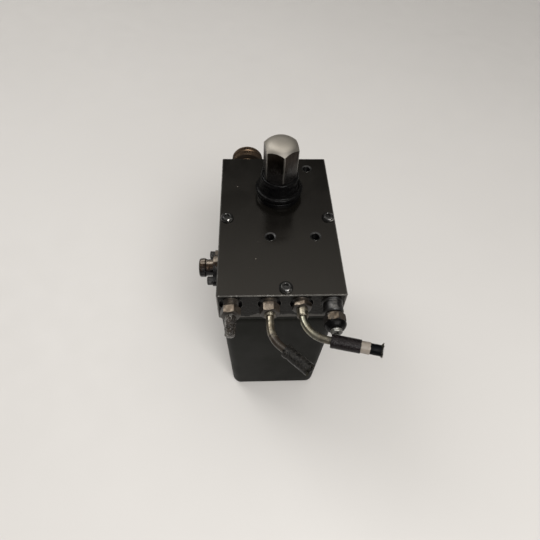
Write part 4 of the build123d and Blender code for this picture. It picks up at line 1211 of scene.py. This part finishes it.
def make_front_dark_film():
    """Thin black film over the front face, clear of the four ports, ragged along its lower edge; it darkens
    the face and dulls its reflection.
    """
    step, side_margin, top_margin, clearance = 0.8, 1.2, 1.0, 9.2
    ports = (port_1_x, port_2_x, port_3_x, port_4_x)
    columns = int((block_high.x - block_low.x - 2 * side_margin) / step)
    rows = int((block_high.z - block_low.z - 2 * top_margin) / step)
    numbers, points, faces = {}, [], []

    def place(i, k):
        return block_low.x + side_margin + i * step, block_high.z - top_margin - k * step

    def corner(i, k, back):
        """Number of a grid corner, pushed out to the rim of a port that it lies within."""
        if (i, k, back) not in numbers:
            x, z = place(i, k)
            for port in ports:
                away = Vector((x - port, z - port_z))
                if 0.1 < away.length < clearance + 0.2:
                    away = away.normalized() * (clearance + 0.2)
                    x, z = port + away.x, port_z + away.y
            numbers[i, k, back] = len(points)
            points.append(Vector((x, block_low.y - (0.01 if back else 0.06), z)))
        return numbers[i, k, back]

    def covered(i, k):
        x, z = place(i + 0.5, k + 0.5)
        wander = 5.0 * noise.noise(Vector((x * 0.09, 3.0, 0.0))) + noise.noise(Vector((x, 0, 0)))
        inside = 0 <= i < columns and 0 <= k < rows and z > block_low.z + 4.5 + wander
        return inside and all(Vector((x - port, z - port_z)).length > clearance for port in ports)

    for i, k in ((i, k) for i in range(columns) for k in range(rows) if covered(i, k)):
        front, back = ([corner(i + a, k + b, side) for a, b in ((0, 0), (0, 1), (1, 1), (1, 0))]
                       for side in (False, True))
        faces += [tuple(front), tuple(back[::-1])]
        for side, (di, dk) in enumerate(((-1, 0), (0, 1), (1, 0), (0, -1))):
            if not covered(i + di, k + dk):
                n = (side + 1) % 4
                faces.append((front[n], front[side], back[side], back[n]))
    # The film makes the front face darker and less reflective than the block's own finish.
    film = greasy_rubber_material(
        "front_dark_film_shader", (0.0030, 0.0027, 0.0022), (0.0065, 0.0058, 0.0048), 0.2, 0.4)
    add_piece("front_dark_film", (points, faces), "rubber_black", (), 40.0, film)


def make_paint_chips():
    """Two tiny pale specks on the block's top face."""
    for index, (x, y, r) in enumerate(((-35.0, 40.0, 0.45), (-19.5, -44.5, 0.4))):
        outline = [(0, top + 0.01), (r, top + 0.01), (r * 0.9, top + 0.07), (r * 0.4, top + 0.12),
            (0, top + 0.12)]
        speck = lathe(outline, (x, y, 0), (0, 0, 1), 14, ripple(index * 4.0, 0.5, 0.9))
        add_piece(f"pale_speck_{index + 1}", speck, "white_band")


materials = all_materials()
for entry in frame["record"]["subparts"]:
    carried = nodes[entry["node"]]
    carried.data.materials.clear()
    carried.data.materials.append(materials[entry["material_slot"]])

make_camera()
make_lights()
make_floor(floor_material())
make_tank()
make_cover_screws()
make_hole_threads()
make_spindle()
make_boot_and_gland()
make_filler()
make_connector()
make_union_nuts()
make_tube_sleeves()
make_tubes()
make_hose_2()
make_hose_3()
make_port_1()
make_port_4()
make_springs()
make_recess_shade()
make_front_dark_film()
make_paint_chips()
